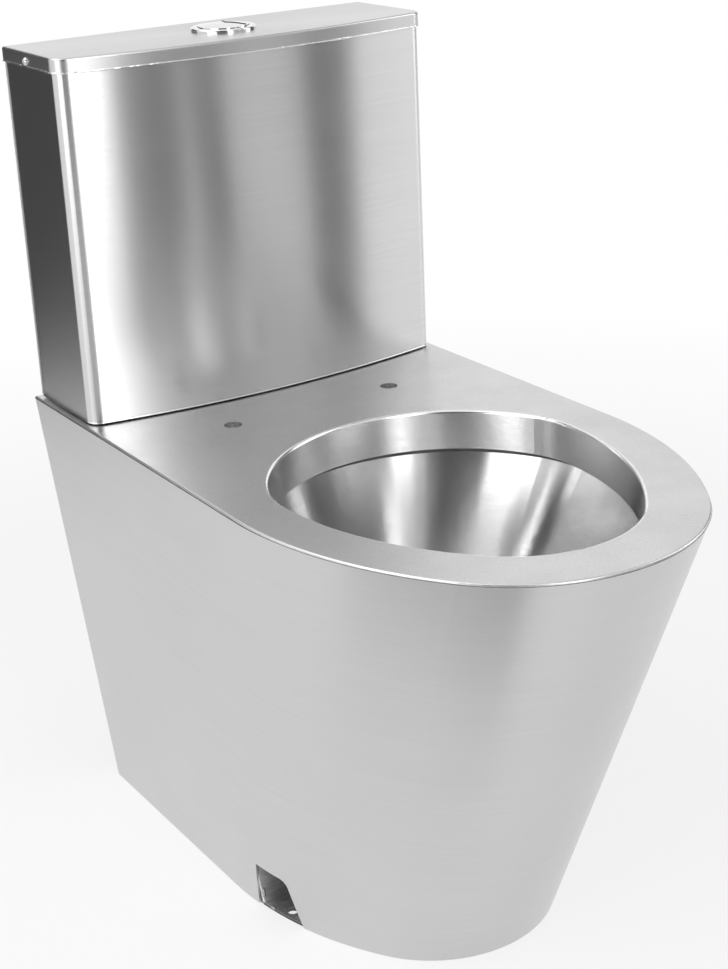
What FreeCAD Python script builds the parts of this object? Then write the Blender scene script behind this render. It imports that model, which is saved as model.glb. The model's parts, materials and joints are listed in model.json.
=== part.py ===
"""Compact close-coupled toilet in stainless steel sheet, as an assembly of separate pieces.

Millimetres. +Z is up, the front faces -Y, X is the width. The origin is on the floor, under the middle of
the pan's outline, so the back plane of the pan is at y = deck_length / 2.
"""
import FreeCAD
import Part
import Sketcher
import math
import os

doc = FreeCAD.newDocument("CompactToilet")

# Driving dimensions, in millimetres and degrees
SIZES = [
    # pan: deck, skirt and floor line
    ("deck_width", "352"),
    ("deck_length", "600"),
    ("deck_height", "396"),
    ("deck_sheet", "2"),
    ("deck_edge_round", "1.5"),
    ("front_depth", "243"),
    ("front_nose_radius", "142"),
    ("base_width", "270"),
    ("base_length", "441"),
    ("base_front_depth", "208"),
    ("base_nose_radius", "104"),
    ("pan_sheet", "1.5"),
    ("back_flange", "20"),
    # service notches and feet
    ("notch_from_back", "268"),
    ("notch_length", "54"),
    ("notch_height", "46"),
    ("notch_rear_lean", "9"),
    ("notch_front_lean", "6"),
    ("notch_round", "8"),
    ("foot_hole_spacing", "236"),
    ("foot_hole_diameter", "9"),
    ("foot_hole_from_upright", "24"),
    ("foot_plate_sheet", "3"),
    ("foot_plate_length", "68"),
    ("foot_plate_width", "40"),
    ("foot_upright_sheet", "3"),
    ("foot_upright_height", "50"),
    ("foot_upright_inset", "7"),
    # bowl opening, rim and bowl
    ("rim_width", "42"),
    ("rim_front_width", "47.5"),
    ("opening_back_shortening", "17.5"),
    ("opening_back_flattening", "5"),
    ("rim_lip_radius", "2.5"),
    ("rim_band_depth", "33.5"),
    ("rim_channel", "12"),
    ("collar_depth", "41.5"),
    ("sump_width", "124"),
    ("sump_top_height", "150"),
    ("sump_floor_width", "106"),
    ("sump_floor_height", "32"),
    ("sump_from_back", "330"),
    # trap, outlet and flush duct
    ("trap_bore", "80"),
    ("trap_inlet_height", "76"),
    ("trap_crest_height", "206"),
    ("trap_bend_radius", "70"),
    ("trap_climb_angle", "60"),
    ("trap_crest_run", "7"),
    ("outlet_height", "190"),
    ("outlet_diameter", "102"),
    ("outlet_length", "50"),
    ("outlet_taper_length", "38"),
    ("outlet_inset", "10"),
    ("duct_width", "80"),
    ("duct_depth", "34"),
    ("duct_inset", "17"),
    # seat holes
    ("seat_hole_spacing", "155"),
    ("seat_hole_offset", "4"),
    ("seat_hole_diameter", "15"),
    ("seat_bush_wall", "2.5"),
    ("seat_bush_length", "15"),
    # cistern sheets and lid
    ("tank_width", "343"),
    ("tank_depth", "117"),
    ("tank_height", "300"),
    ("tank_gap", "2"),
    ("tank_inset", "8.5"),
    ("tank_front_radius", "833"),
    ("tank_corner_radius", "12"),
    ("tank_sheet", "1.2"),
    ("lid_rim", "12"),
    ("lid_clearance", "0.3"),
    ("lid_edge_round", "2"),
    ("lid_screw_from_back", "53"),
    ("lid_screw_drop", "7.5"),
    ("lid_screw_diameter", "4"),
    ("lid_screw_clearance", "0.1"),
    ("lid_screw_head", "7"),
    ("lid_screw_head_height", "2.4"),
    ("lid_screw_length", "11"),
    ("lid_nut_length", "5"),
    ("lid_nut_diameter", "9"),
    # cistern fixing
    ("tank_bolt_spacing", "144"),
    ("tank_bolt_diameter", "8"),
    ("tank_bolt_head", "15"),
    ("tank_bolt_head_height", "5.5"),
    ("tank_bolt_seal", "26"),
    ("seal_sheet", "3"),
    ("deck_washer", "22"),
    ("deck_washer_sheet", "1.6"),
    ("wing_hub", "16"),
    ("wing_hub_height", "10"),
    ("wing_span", "36"),
    ("wing_sheet", "3"),
    ("wing_rise", "5"),
    ("bolt_end", "5"),
    ("gasket_width", "11"),
    # flush button
    ("bezel_diameter", "55"),
    ("bezel_height", "3"),
    ("bezel_round", "1.5"),
    ("sleeve_diameter", "46"),
    ("sleeve_wall", "1.2"),
    ("sleeve_depth", "27"),
    ("bezel_floor", "3"),
    ("ring_nut_diameter", "60"),
    ("ring_nut_height", "7"),
    ("button_clearance", "0.5"),
    ("button_edge_rise", "0.5"),
    ("button_dome", "2"),
    ("button_sheet", "4"),
    ("button_split", "0.7"),
    ("split_vertex", "3"),
    ("split_angle", "120"),
    ("split_turn", "10"),
    ("rod_side", "13"),
    ("rod_forward", "4"),
    ("rod_diameter", "5"),
    ("rod_guide_clearance", "0.4"),
    ("rod_collar", "8.4"),
    ("rod_collar_height", "4"),
    ("spring_diameter", "8.4"),
    ("spring_wire", "0.8"),
    ("spring_turns", "6"),
    # flush valve
    ("valve_flange", "84"),
    ("valve_flange_sheet", "4"),
    ("valve_tail_diameter", "60"),
    ("valve_bore", "52"),
    ("valve_tail_length", "30"),
    ("valve_nut_width", "84"),
    ("valve_nut_height", "12"),
    ("deck_flush_hole", "90"),
    ("fit_clearance", "0.3"),
    ("seat_wall", "3"),
    ("seat_height", "6"),
    ("cage_diameter", "76"),
    ("cage_wall", "3"),
    ("cage_height", "60"),
    ("cage_window", "30"),
    ("cage_sill", "8"),
    ("guide_height", "127"),
    ("guide_wall", "4"),
    ("guide_clearance", "1"),
    ("guide_top_width", "54"),
    ("guide_top_sheet", "4"),
    ("tube_diameter", "30"),
    ("tube_wall", "2"),
    ("tube_top_drop", "10"),
    ("tube_flange_sheet", "3"),
    ("tube_skirt", "3"),
    ("seat_clearance", "0.1"),
    ("valve_float_diameter", "62"),
    ("valve_float_height", "32"),
    # half-flush ports and their sleeve
    ("port_width", "14"),
    ("port_height", "20"),
    ("port_rise", "44"),
    ("sleeve_lap", "5"),
    ("sleeve_wall_thickness", "3.5"),
    ("sleeve_gap", "0.5"),
    ("sleeve_stop_width", "2.5"),
    ("sleeve_stop_sheet", "2"),
    ("strap_sheet", "2.5"),
    ("strap_gap", "2"),
    # levers and yoke
    ("lever_axis_rise", "12"),
    ("lever_push_arm", "12"),
    ("lever_lift_arm", "16"),
    ("lever_thickness", "5"),
    ("lever_width", "6"),
    ("lever_pad", "4"),
    ("lever_gap", "0.6"),
    ("pin_diameter", "4"),
    ("pin_clearance", "0.05"),
    ("ear_sheet", "3"),
    ("ear_gap", "0.4"),
    ("ear_reach", "5"),
    ("yoke_sheet", "4"),
    ("yoke_pad", "8"),
    ("yoke_web", "5"),
    ("stem_diameter", "8"),
    ("spider_drop", "10"),
    ("spider_height", "15"),
    ("spider_sheet", "3"),
    # fill valve
    ("fill_side", "110"),
    ("fill_tail_diameter", "20.6"),
    ("fill_tail_length", "46"),
    ("fill_shank_diameter", "21.6"),
    ("fill_bore", "9"),
    ("fill_flange", "32"),
    ("fill_flange_sheet", "4"),
    ("fill_column_diameter", "18"),
    ("fill_head_drop", "102"),
    ("fill_head_diameter", "26"),
    ("fill_head_height", "24"),
    ("fill_cap_diameter", "29"),
    ("fill_cap_height", "8"),
    ("fill_cap_bevel", "4"),
    ("fill_nut_width", "34"),
    ("fill_nut_height", "10"),
    ("deck_fill_hole", "40"),
    ("arm_axis_out", "19"),
    ("arm_length", "40"),
    ("arm_tail", "4"),
    ("arm_end", "8"),
    ("arm_hang_angle", "22"),
    ("float_diameter", "38"),
    ("float_height", "50"),
    ("float_round", "4"),
]
sheet = doc.addObject("Spreadsheet::Sheet", "Sizes")
for row, (alias, number) in enumerate(SIZES, start=1):
    sheet.set("A%d" % row, alias)
    sheet.set("B%d" % row, number)
    sheet.setAlias("B%d" % row, alias)
doc.recompute()
derived = doc.addObject("App::VarSet", "Derived")


class Size:
    """A length or number with its value now and the expression that keeps it bound to the sheet."""

    def __init__(self, value, text):
        self.value = float(value)
        self.text = text

    def __add__(self, other):
        other = as_size(other)
        return Size(self.value + other.value, "(%s + %s)" % (self.text, other.text))

    def __sub__(self, other):
        other = as_size(other)
        return Size(self.value - other.value, "(%s - %s)" % (self.text, other.text))

    def __rsub__(self, other):
        return as_size(other) - self

    def __mul__(self, other):
        other = as_size(other)
        return Size(self.value * other.value, "(%s * %s)" % (self.text, other.text))

    def __truediv__(self, other):
        other = as_size(other)
        return Size(self.value / other.value, "(%s / %s)" % (self.text, other.text))

    def __neg__(self):
        return Size(-self.value, "(-%s)" % self.text)

    __radd__ = __add__
    __rmul__ = __mul__


def as_size(item):
    return item if isinstance(item, Size) else Size(item, "(%r)" % float(item))


def root(size):
    return Size(math.sqrt(size.value), "sqrt(%s)" % size.text)


def cosine(size):
    return Size(math.cos(math.radians(size.value)), "cos(%s * 1 deg)" % size.text)


def sine(size):
    return Size(math.sin(math.radians(size.value)), "sin(%s * 1 deg)" % size.text)


def named(name, size):
    """Keep a worked-out size under a name of its own, still bound to the sheet."""
    derived.addProperty("App::PropertyFloat", name)
    derived.setExpression(name, size.text)
    return Size(size.value, "Derived." + name)


class Dimensions:
    """The sheet's sizes by their aliases."""

    def __getattr__(self, alias):
        return Size(sheet.get(alias), "Sizes." + alias)


d = Dimensions()
ZERO = as_size(0)


# Sketches and features

def vector(x, y, z=0.0):
    return FreeCAD.Vector(x, y, z)


def bind(item, path, size):
    item.setExpression(path, as_size(size).text)


def move(item, x=ZERO, y=ZERO, z=ZERO):
    for letter, size in zip("xyz", (x, y, z)):
        bind(item, "Placement.Base." + letter, size)
    return item


def origin_plane(body, role):
    return [item for item in body.Origin.OriginFeatures if item.Role == role][0]


def new_body(name):
    return doc.addObject("PartDesign::Body", name)


def new_sketch(body, name, role="XY_Plane", lift=ZERO):
    sketch = body.newObject("Sketcher::SketchObject", name)
    sketch.AttachmentSupport = [(origin_plane(body, role), "")]
    sketch.MapMode = "FlatFace"
    bind(sketch, "AttachmentOffset.Base.z", lift)
    return sketch


def pin_point(sketch, edge, end, x, y):
    """Hold a sketch point at x, y, each bound to its size."""
    for kind, size, axis in (("DistanceX", x, -2), ("DistanceY", y, -1)):
        if size is ZERO:
            sketch.addConstraint(Sketcher.Constraint("PointOnObject", edge, end, axis))
        else:
            index = sketch.addConstraint(Sketcher.Constraint(kind, -1, 1, edge, end, size.value))
            bind(sketch, "Constraints[%d]" % index, size)


def arc_between(start, end, radius, turn):
    """The short arc from start to end; turn is 1 for anticlockwise and -1 for clockwise."""
    chord = end - start
    rise = math.sqrt(max(radius ** 2 - chord.Length ** 2 / 4, 0.0))
    side = vector(-chord.y, chord.x) * (turn * rise / chord.Length)
    centre = (start + end) * 0.5 + side
    first, last = (start, end) if turn > 0 else (end, start)
    circle = Part.Circle(centre, vector(0, 0, 1), radius)
    angles = [math.atan2(point.y - centre.y, point.x - centre.x) for point in (first, last)]
    if angles[1] < angles[0]:
        angles[1] += 2 * math.pi
    return Part.ArcOfCircle(circle, angles[0], angles[1])


def add_chain(sketch, corners, bends, closed=True):
    """A chain of lines and arcs; a bend is None for a line or (radius, turn) for an arc."""
    points = [vector(x.value, y.value) for x, y in corners]
    count = len(corners) if closed else len(corners) - 1
    ends = []
    for index in range(count):
        start = points[index]
        end = points[(index + 1) % len(points)]
        bend = bends[index]
        if bend is None:
            edge = sketch.addGeometry(Part.LineSegment(start, end), False)
            ends.append((edge, 1, 2))
        else:
            radius, turn = bend
            edge = sketch.addGeometry(arc_between(start, end, radius.value, turn), False)
            ends.append((edge, 1, 2) if turn > 0 else (edge, 2, 1))
    for index in range(count if closed else count - 1):
        edge, _, tail = ends[index]
        following, head, _ = ends[(index + 1) % count]
        sketch.addConstraint(Sketcher.Constraint("Coincident", edge, tail, following, head))
    for index in range(count):
        edge, head, _ = ends[index]
        pin_point(sketch, edge, head, *corners[index])
        if bends[index] is not None:
            radius = bends[index][0]
            place = sketch.addConstraint(Sketcher.Constraint("Radius", edge, radius.value))
            bind(sketch, "Constraints[%d]" % place, radius)
    if not closed:
        edge, _, tail = ends[-1]
        pin_point(sketch, edge, tail, *corners[-1])


def add_polygon(sketch, corners):
    add_chain(sketch, corners, [None] * len(corners))


def add_circle(sketch, x, y, radius):
    edge = sketch.addGeometry(Part.Circle(vector(x.value, y.value), vector(0, 0, 1), radius.value), False)
    pin_point(sketch, edge, 3, x, y)
    place = sketch.addConstraint(Sketcher.Constraint("Radius", edge, radius.value))
    bind(sketch, "Constraints[%d]" % place, radius)


def pad(body, sketch, length, symmetric=False):
    feature = body.newObject("PartDesign::Pad", sketch.Name + "_pad")
    feature.Profile = sketch
    if symmetric:
        feature.SideType = "Symmetric"
    bind(feature, "Length", length)
    return feature


def pocket(body, sketch, length=None, upward=False):
    """Cut a sketch out of the body: right through both ways, or to a length."""
    before = body.Shape.Volume
    feature = body.newObject("PartDesign::Pocket", sketch.Name + "_pocket")
    feature.Profile = sketch
    if length is None:
        feature.SideType = "Symmetric"
        feature.Type = "ThroughAll"
    else:
        bind(feature, "Length", length)
        feature.Reversed = upward
    doc.recompute()
    if feature.Shape.Volume >= before:
        raise ValueError(sketch.Name + " cuts nothing")
    return feature


def turned(name, corners, x=ZERO, y=ZERO, z=ZERO, bends=None):
    """A turned piece: a closed section of radius and height, spun about its own upright axis."""
    body = new_body(name)
    sketch = new_sketch(body, name + "_section", "XZ_Plane")
    corners = [(as_size(r) if r is not ZERO else ZERO, h) for r, h in corners]
    add_chain(sketch, corners, bends or [None] * len(corners))
    feature = body.newObject("PartDesign::Revolution", name + "_turn")
    feature.Profile = sketch
    feature.ReferenceAxis = (sketch, ["V_Axis"])
    feature.Angle = 360
    return move(body, x, y, z)


def ring(name, inner, outer, bottom, top, x=ZERO, y=ZERO):
    return turned(name, [(inner, bottom), (outer, bottom), (outer, top), (inner, top)], x, y)


def hexagon_nut(name, width, bore, bottom, height, x=ZERO, y=ZERO):
    """A six-sided nut measured across its corners, with a plain bore."""
    body = new_body(name)
    sketch = new_sketch(body, name + "_outline", lift=bottom)
    corners = []
    for side in range(6):
        angle = math.radians(60 * side + 30)
        corners.append((width / 2 * math.cos(angle), width / 2 * math.sin(angle)))
    add_polygon(sketch, corners)
    add_circle(sketch, ZERO, ZERO, bore)
    pad(body, sketch, height)
    return move(body, x, y)


def block(name, low, high):
    """A box between two opposite corners."""
    item = doc.addObject("Part::Box", name)
    for path, index in (("Length", 0), ("Width", 1), ("Height", 2)):
        bind(item, path, as_size(high[index]) - low[index])
    return move(item, *[as_size(size) for size in low])


AXES = {"x": (vector(0, 1, 0), 90), "y": (vector(1, 0, 0), -90), "z": (vector(0, 0, 1), 0)}


def cylinder(name, radius, length, start, along="z"):
    item = doc.addObject("Part::Cylinder", name)
    axis, angle = AXES[along]
    item.Placement = FreeCAD.Placement(vector(0, 0, 0), FreeCAD.Rotation(axis, angle))
    bind(item, "Radius", radius)
    bind(item, "Height", length)
    return move(item, *start)


def cut(name, base, *tools):
    for index, tool in enumerate(tools):
        last = index == len(tools) - 1
        item = doc.addObject("Part::Cut", name if last else "%s_cut_%d" % (name, index))
        item.Base = base
        item.Tool = tool
        base = item
    return base


def common(name, base, tool):
    item = doc.addObject("Part::Common", name)
    item.Base = base
    item.Tool = tool
    return item


def fuse(name, *items):
    item = doc.addObject("Part::MultiFuse", name)
    item.Shapes = list(items)
    item.Refine = True
    return item


def mirrored_pair(name, item):
    """The piece and its mirror image across the middle plane, as one group."""
    other = doc.addObject("Part::Mirroring", name + "_mirror")
    other.Source = item
    other.Normal = vector(1, 0, 0)
    pair = doc.addObject("Part::Compound", name)
    pair.Links = [item, other]
    return pair


def top_rim_edges(item, level):
    """Names of the edges round the outside of the flat top face at a level."""
    doc.recompute()
    shape = item.Shape
    tops = [face for face in shape.Faces if abs(face.BoundBox.ZMin - level.value) < 1e-6]
    rim = max(tops, key=lambda face: face.BoundBox.DiagonalLength).OuterWire.Edges
    names = []
    for index, edge in enumerate(shape.Edges, start=1):
        if any(edge.isSame(other) for other in rim):
            names.append("Edge%d" % index)
    return names


def round_top(body, feature, level, radius):
    edge_names = top_rim_edges(feature, level)
    item = body.newObject("PartDesign::Fillet", body.Name + "_edge_round")
    item.Base = (feature, edge_names)
    bind(item, "Radius", radius)
    return item


nodes = {}


def keep(name, item):
    """Hand a finished piece in under its node name."""
    item.Label = name
    nodes[name] = item
    return item


# Shared places and outlines

half_width = named("half_width", d.deck_width / 2)
back = named("back", d.deck_length / 2)
deck_under = named("deck_under", d.deck_height - d.deck_sheet)
straight_end = named("straight_end", d.front_depth - back)
base_half = named("base_half", d.base_width / 2)
base_straight_end = named("base_straight_end", back - d.base_length + d.base_front_depth)
opening_half = named("opening_half", half_width - d.rim_width)
opening_front_depth = named("opening_front_depth", d.front_depth - d.rim_front_width)
opening_back_depth = named("opening_back_depth", opening_half - d.opening_back_shortening)
opening_back = named("opening_back", straight_end + opening_back_depth)
tank_back = named("tank_back", back - d.tank_inset)
tank_half = named("tank_half", d.tank_width / 2)
tank_foot = named("tank_foot", d.deck_height + d.tank_gap)
tank_floor = named("tank_floor", tank_foot + d.tank_sheet)
lid_top = named("lid_top", tank_foot + d.tank_height)
lid_under = named("lid_under", lid_top - d.tank_sheet)
valve_y = named("valve_y", tank_back - d.tank_depth / 2)


def nose_join(half, depth, nose):
    """Side radius of a front curve, and where its side arc runs into its nose arc."""
    side = (half * half + (depth - nose) * (depth - nose) - nose * nose) / (2 * (half - nose))
    reach = nose / (side - nose)
    return side, reach * (side - half), (depth - nose) * (1 + reach)


def front_run(name, half, depth, nose, start_y):
    """Left to right round the front: corners and bends of a three-arc curve that starts at start_y."""
    side, x, y = nose_join(half, depth, nose)
    side = named(name + "_side_radius", side)
    x = named(name + "_join_x", x)
    y = named(name + "_join_y", start_y - y)
    corners = [(-half, start_y), (-x, y), (x, y), (half, start_y)]
    return corners, [(side, 1), (nose, 1), (side, 1)]


def reverse_run(corners, bends):
    turned_bends = [None if bend is None else (bend[0], -bend[1]) for bend in bends]
    return corners[::-1], turned_bends[::-1]


def d_outline(name, half, depth, nose, start_y, back_y):
    """Straight sides to a flat back, with a three-arc front."""
    corners, bends = front_run(name, half, depth, nose, start_y)
    return corners + [(half, back_y), (-half, back_y)], bends + [None, None, None]


def egg(name, grow=ZERO, ratio=None, shrink=ZERO, centre=straight_end):
    """The bowl opening's outline, grown by an offset, scaled and shrunk, from its front point on."""
    sizes = []
    for size in (opening_half, opening_front_depth, d.front_nose_radius - d.rim_front_width,
                 opening_back_depth, opening_half + d.opening_back_flattening):
        size = size + grow
        size = size if ratio is None else size * ratio
        sizes.append(named("%s_%d" % (name, len(sizes)), size - shrink))
    half, front, nose, rear, rear_nose = sizes
    side, x, y = [named("%s_front_%d" % (name, index), size)
                  for index, size in enumerate(nose_join(half, front, nose))]
    rear_side, rear_x, rear_y = [named("%s_rear_%d" % (name, index), size)
                                 for index, size in enumerate(nose_join(half, rear, rear_nose))]
    corners = [
        (ZERO, centre - front), (x, centre - y), (half, centre), (rear_x, centre + rear_y),
        (ZERO, centre + rear), (-rear_x, centre + rear_y), (-half, centre), (-x, centre - y)]
    radii = [nose, side, rear_side, rear_nose, rear_nose, rear_side, side, nose]
    return corners, [(radius, 1) for radius in radii]


def loft(name, sections):
    """A body through closed outlines at their heights, with straight walls between them."""
    body = new_body(name)
    sketches = []
    for index, (outline, height) in enumerate(sections):
        sketch = new_sketch(body, "%s_section_%d" % (name, index), lift=height)
        add_chain(sketch, *outline)
        sketches.append(sketch)
    feature = body.newObject("PartDesign::AdditiveLoft", name + "_loft")
    feature.Profile = sketches[0]
    feature.Sections = sketches[1:]
    feature.Ruled = True
    return body


# Pan skirt: a sheet wrap that tapers from the deck to the floor, with folded back edges

def wrap_outline(name, half, depth, nose, start_y):
    wall = d.pan_sheet
    outer, outer_bends = front_run(name + "_outer", half, depth, nose, start_y)
    inner, inner_bends = front_run(name + "_inner", half - wall, depth - wall, nose - wall, start_y)
    inner, inner_bends = reverse_run(inner, inner_bends)
    right = [(half, back), (half - d.back_flange, back), (half - d.back_flange, back - wall),
             (half - wall, back - wall)]
    left = [(-x, y) for x, y in right[::-1]]
    corners = outer + right + inner + left
    bends = outer_bends + [None] * 5 + inner_bends + [None] * 5
    return corners, bends


def make_skirt():
    base = wrap_outline("skirt_base", base_half, d.base_front_depth, d.base_nose_radius, base_straight_end)
    top = wrap_outline("skirt_top", half_width, d.front_depth, d.front_nose_radius, straight_end)
    body = loft("skirt", [(base, ZERO), (top, deck_under)])
    doc.recompute()
    sketch = new_sketch(body, "notches", "YZ_Plane")
    rear = back - d.notch_from_back
    front = rear - d.notch_length
    front_top = front + d.notch_front_lean
    corner = named("notch_corner", front_top + d.notch_round)
    shoulder = named("notch_shoulder", d.notch_height - d.notch_round)
    corners = [(rear, ZERO), (rear - d.notch_rear_lean, d.notch_height), (corner, d.notch_height),
               (front_top, shoulder), (front, ZERO)]
    add_chain(sketch, corners, [None, None, (d.notch_round, 1), None, None])
    pocket(body, sketch)
    return body


keep("pan_skirt", make_skirt())


# The hollow inside the skirt, which trims what is welded to its wall
def make_skirt_hollow():
    wall = d.pan_sheet
    return loft("skirt_hollow", [
        (d_outline("hollow_base", base_half - wall, d.base_front_depth - wall, d.base_nose_radius - wall,
                   base_straight_end, back - wall), ZERO),
        (d_outline("hollow_top", half_width - wall, d.front_depth - wall, d.front_nose_radius - wall,
                   straight_end, back - wall), deck_under)])


skirt_hollow = make_skirt_hollow()


# Pan deck: the top sheet with the bowl opening and its bolt, seat, flush and inlet holes
fill_x = d.fill_side
seat_y = named("seat_y", (opening_back + tank_back - d.tank_depth) / 2 + d.seat_hole_offset)
tank_bolt_x = named("tank_bolt_x", d.tank_bolt_spacing / 2)
bolt_hole = named("bolt_hole", d.tank_bolt_diameter / 2 + d.fit_clearance)


def make_deck():
    body = new_body("deck")
    sketch = new_sketch(body, "deck_outline", lift=deck_under)
    add_chain(sketch, *d_outline("deck", half_width, d.front_depth, d.front_nose_radius, straight_end, back))
    add_chain(sketch, *egg("deck_opening", d.rim_lip_radius))
    for side in (-1, 1):
        add_circle(sketch, side * d.seat_hole_spacing / 2, seat_y, d.seat_hole_diameter / 2)
        add_circle(sketch, side * tank_bolt_x, valve_y, bolt_hole)
    add_circle(sketch, ZERO, valve_y, d.deck_flush_hole / 2)
    add_circle(sketch, fill_x, valve_y, d.deck_fill_hole / 2)
    plate = pad(body, sketch, d.deck_sheet)
    round_top(body, plate, d.deck_height, d.deck_edge_round)
    return body


keep("pan_deck", make_deck())


# Rim band: an upright band round the opening, whose lip rolls outwards to the deck
def make_rim_band():
    body = new_body("rim")
    path = new_sketch(body, "rim_path")
    add_chain(path, *egg("rim_opening"))
    section = new_sketch(body, "rim_section", "YZ_Plane")
    inside = named("opening_front", straight_end - opening_front_depth)
    lip_edge = inside - d.rim_lip_radius
    lip_start = d.deck_height - d.rim_lip_radius
    outside = inside - d.pan_sheet
    foot = d.deck_height - d.rim_band_depth
    corners = [(inside, foot), (inside, lip_start), (lip_edge, d.deck_height),
               (lip_edge, d.deck_height - d.pan_sheet), (outside, lip_start), (outside, foot)]
    inner_lip = d.rim_lip_radius - d.pan_sheet
    add_chain(section, corners, [None, (d.rim_lip_radius, 1), None, (inner_lip, -1), None, None])
    feature = body.newObject("PartDesign::AdditivePipe", "rim_sweep")
    feature.Profile = section
    feature.Spine = (path, [])
    return body


keep("rim_band", make_rim_band())


# Bowl: a collar outside the rim band, a cone and a sump, welded end to end
collar = named("collar", d.pan_sheet + d.rim_channel + d.pan_sheet)
collar_half = opening_half + collar
collar_foot = named("collar_foot", d.deck_height - d.collar_depth)
sump_centre = named("sump_centre", back - d.sump_from_back)
sump_ratio = named("sump_ratio", d.sump_width / 2 / collar_half)
sump_floor_ratio = named("sump_floor_ratio", d.sump_floor_width / 2 / collar_half)


# Scale, centre and height of the bowl's outline at each level
BOWL_LEVELS = {
    "collar": (None, straight_end, deck_under),
    "cone": (None, straight_end, collar_foot),
    "sump": (sump_ratio, sump_centre, d.sump_top_height),
    "floor": (sump_floor_ratio, sump_centre, d.sump_floor_height),
}


def bowl_length(top, foot, floor_sheet=ZERO):
    """The outside and the hollow of the bowl's length between two levels, with a floor in it or none."""
    solids = []
    for side, shrink, lift in (("outside", ZERO, ZERO), ("hollow", d.pan_sheet, floor_sheet)):
        name = "%s_%s" % (top, side)
        sections = []
        for level, height_above in ((top, ZERO), (foot, lift)):
            ratio, centre, height = BOWL_LEVELS[level]
            outline = egg("%s_%s" % (name, level), collar, ratio, shrink, centre)
            sections.append((outline, height + height_above))
        solids.append(loft(name, sections))
    return solids


trap_radius = named("trap_radius", d.trap_bore / 2)
duct_half = named("duct_half", d.duct_width / 2)
duct_foot = named("duct_foot", deck_under - d.duct_depth)
collar_outside, collar_hollow = bowl_length("collar", "cone")
cone_outside, cone_hollow = bowl_length("cone", "sump")
sump_outside, sump_hollow = bowl_length("sump", "floor", d.pan_sheet)
trap_mouth = cylinder("trap_mouth", trap_radius, back - sump_centre,
                      (ZERO, sump_centre, d.trap_inlet_height), "y")
duct_mouth = block("duct_mouth", (d.pan_sheet - duct_half, ZERO, duct_foot + d.pan_sheet),
                   (duct_half - d.pan_sheet, back, d.deck_height))
keep("bowl_collar", cut("collar_shell", collar_outside, collar_hollow, duct_mouth))
keep("bowl", cut("cone_shell", cone_outside, cone_hollow))
keep("bowl_sump", cut("sump_shell", sump_outside, sump_hollow, trap_mouth))


# Trap: welded lengths of pipe that leave the sump, climb to the crest and run level to the outlet
outlet_end = named("outlet_end", back - d.outlet_inset)
outlet_start = named("outlet_start", outlet_end - d.outlet_length)
taper_start = named("taper_start", outlet_start - d.outlet_taper_length)
trap_low = d.trap_inlet_height
trap_high = d.trap_crest_height
bend_radius = d.trap_bend_radius
turn_y = named("trap_turn_y", bend_radius * sine(d.trap_climb_angle))
turn_z = named("trap_turn_z", bend_radius * (1 - cosine(d.trap_climb_angle)))
trap_climb = named("trap_climb", (trap_high - trap_low - 2 * turn_z) / sine(d.trap_climb_angle))
crest_bend = named("trap_crest_bend", taper_start - d.trap_crest_run)
low_bend = named("trap_low_bend", crest_bend - 2 * turn_y - trap_climb * cosine(d.trap_climb_angle))


def trap_run(name, corners, bends):
    """A length of trap pipe along a line of places in Y and Z, which sets off along Y."""
    start_y, start_z = corners[0]
    body = new_body(name)
    path = new_sketch(body, name + "_path", "YZ_Plane")
    add_chain(path, corners, bends, closed=False)
    section = new_sketch(body, name + "_section", "XZ_Plane", -start_y)
    add_circle(section, ZERO, start_z, trap_radius + d.pan_sheet)
    add_circle(section, ZERO, start_z, trap_radius)
    feature = body.newObject("PartDesign::AdditivePipe", name + "_sweep")
    feature.Profile = section
    feature.Spine = (path, [])
    return body


def climbing_cylinder(name, radius):
    """A cylinder that leans from the top of the low bend to the foot of the crest bend."""
    lean = 90 - d.trap_climb_angle
    item = doc.addObject("Part::Cylinder", name)
    item.Placement = FreeCAD.Placement(vector(0, 0, 0), FreeCAD.Rotation(vector(-1, 0, 0), lean.value))
    bind(item, "Placement.Rotation.Angle", lean)
    bind(item, "Radius", radius)
    bind(item, "Height", trap_climb)
    return move(item, ZERO, low_bend + turn_y, trap_low + turn_z)


inlet_run = trap_run("inlet_run", [(sump_centre, trap_low), (low_bend, trap_low)], [None])
keep("trap_inlet_pipe", cut("inlet_trimmed", inlet_run, sump_outside))
keep("trap_low_bend", trap_run("low_bend_run", [
    (low_bend, trap_low), (low_bend + turn_y, trap_low + turn_z)], [(bend_radius, 1)]))
keep("trap_riser", cut("riser", climbing_cylinder("riser_outside", trap_radius + d.pan_sheet),
                       climbing_cylinder("riser_inside", trap_radius)))
keep("trap_crest_bend", trap_run("crest_run", [
    (taper_start, trap_high), (crest_bend, trap_high), (crest_bend - turn_y, trap_high - turn_z)],
    [None, (bend_radius, 1)]))


# Soil outlet: a cone from the trap's crest to a straight spigot
def make_outlet():
    bodies = []
    for name, inner in (("outlet_outside", ZERO), ("outlet_inside", d.pan_sheet)):
        body = new_body(name)
        wide = d.outlet_diameter / 2 - inner
        narrow = trap_radius + d.pan_sheet - inner
        small = new_sketch(body, name + "_small", "XZ_Plane", -taper_start)
        add_circle(small, ZERO, d.trap_crest_height, narrow)
        large = new_sketch(body, name + "_large", "XZ_Plane", -outlet_start)
        add_circle(large, ZERO, d.outlet_height, wide)
        cone = body.newObject("PartDesign::AdditiveLoft", name + "_cone")
        cone.Profile = small
        cone.Sections = [large]
        cone.Ruled = True
        spigot = new_sketch(body, name + "_spigot", "XZ_Plane", -outlet_start)
        add_circle(spigot, ZERO, d.outlet_height, wide)
        feature = pad(body, spigot, d.outlet_length)
        feature.Reversed = True
        bodies.append(body)
    return cut("outlet_shell", *bodies)


keep("outlet_spigot", make_outlet())


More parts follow.
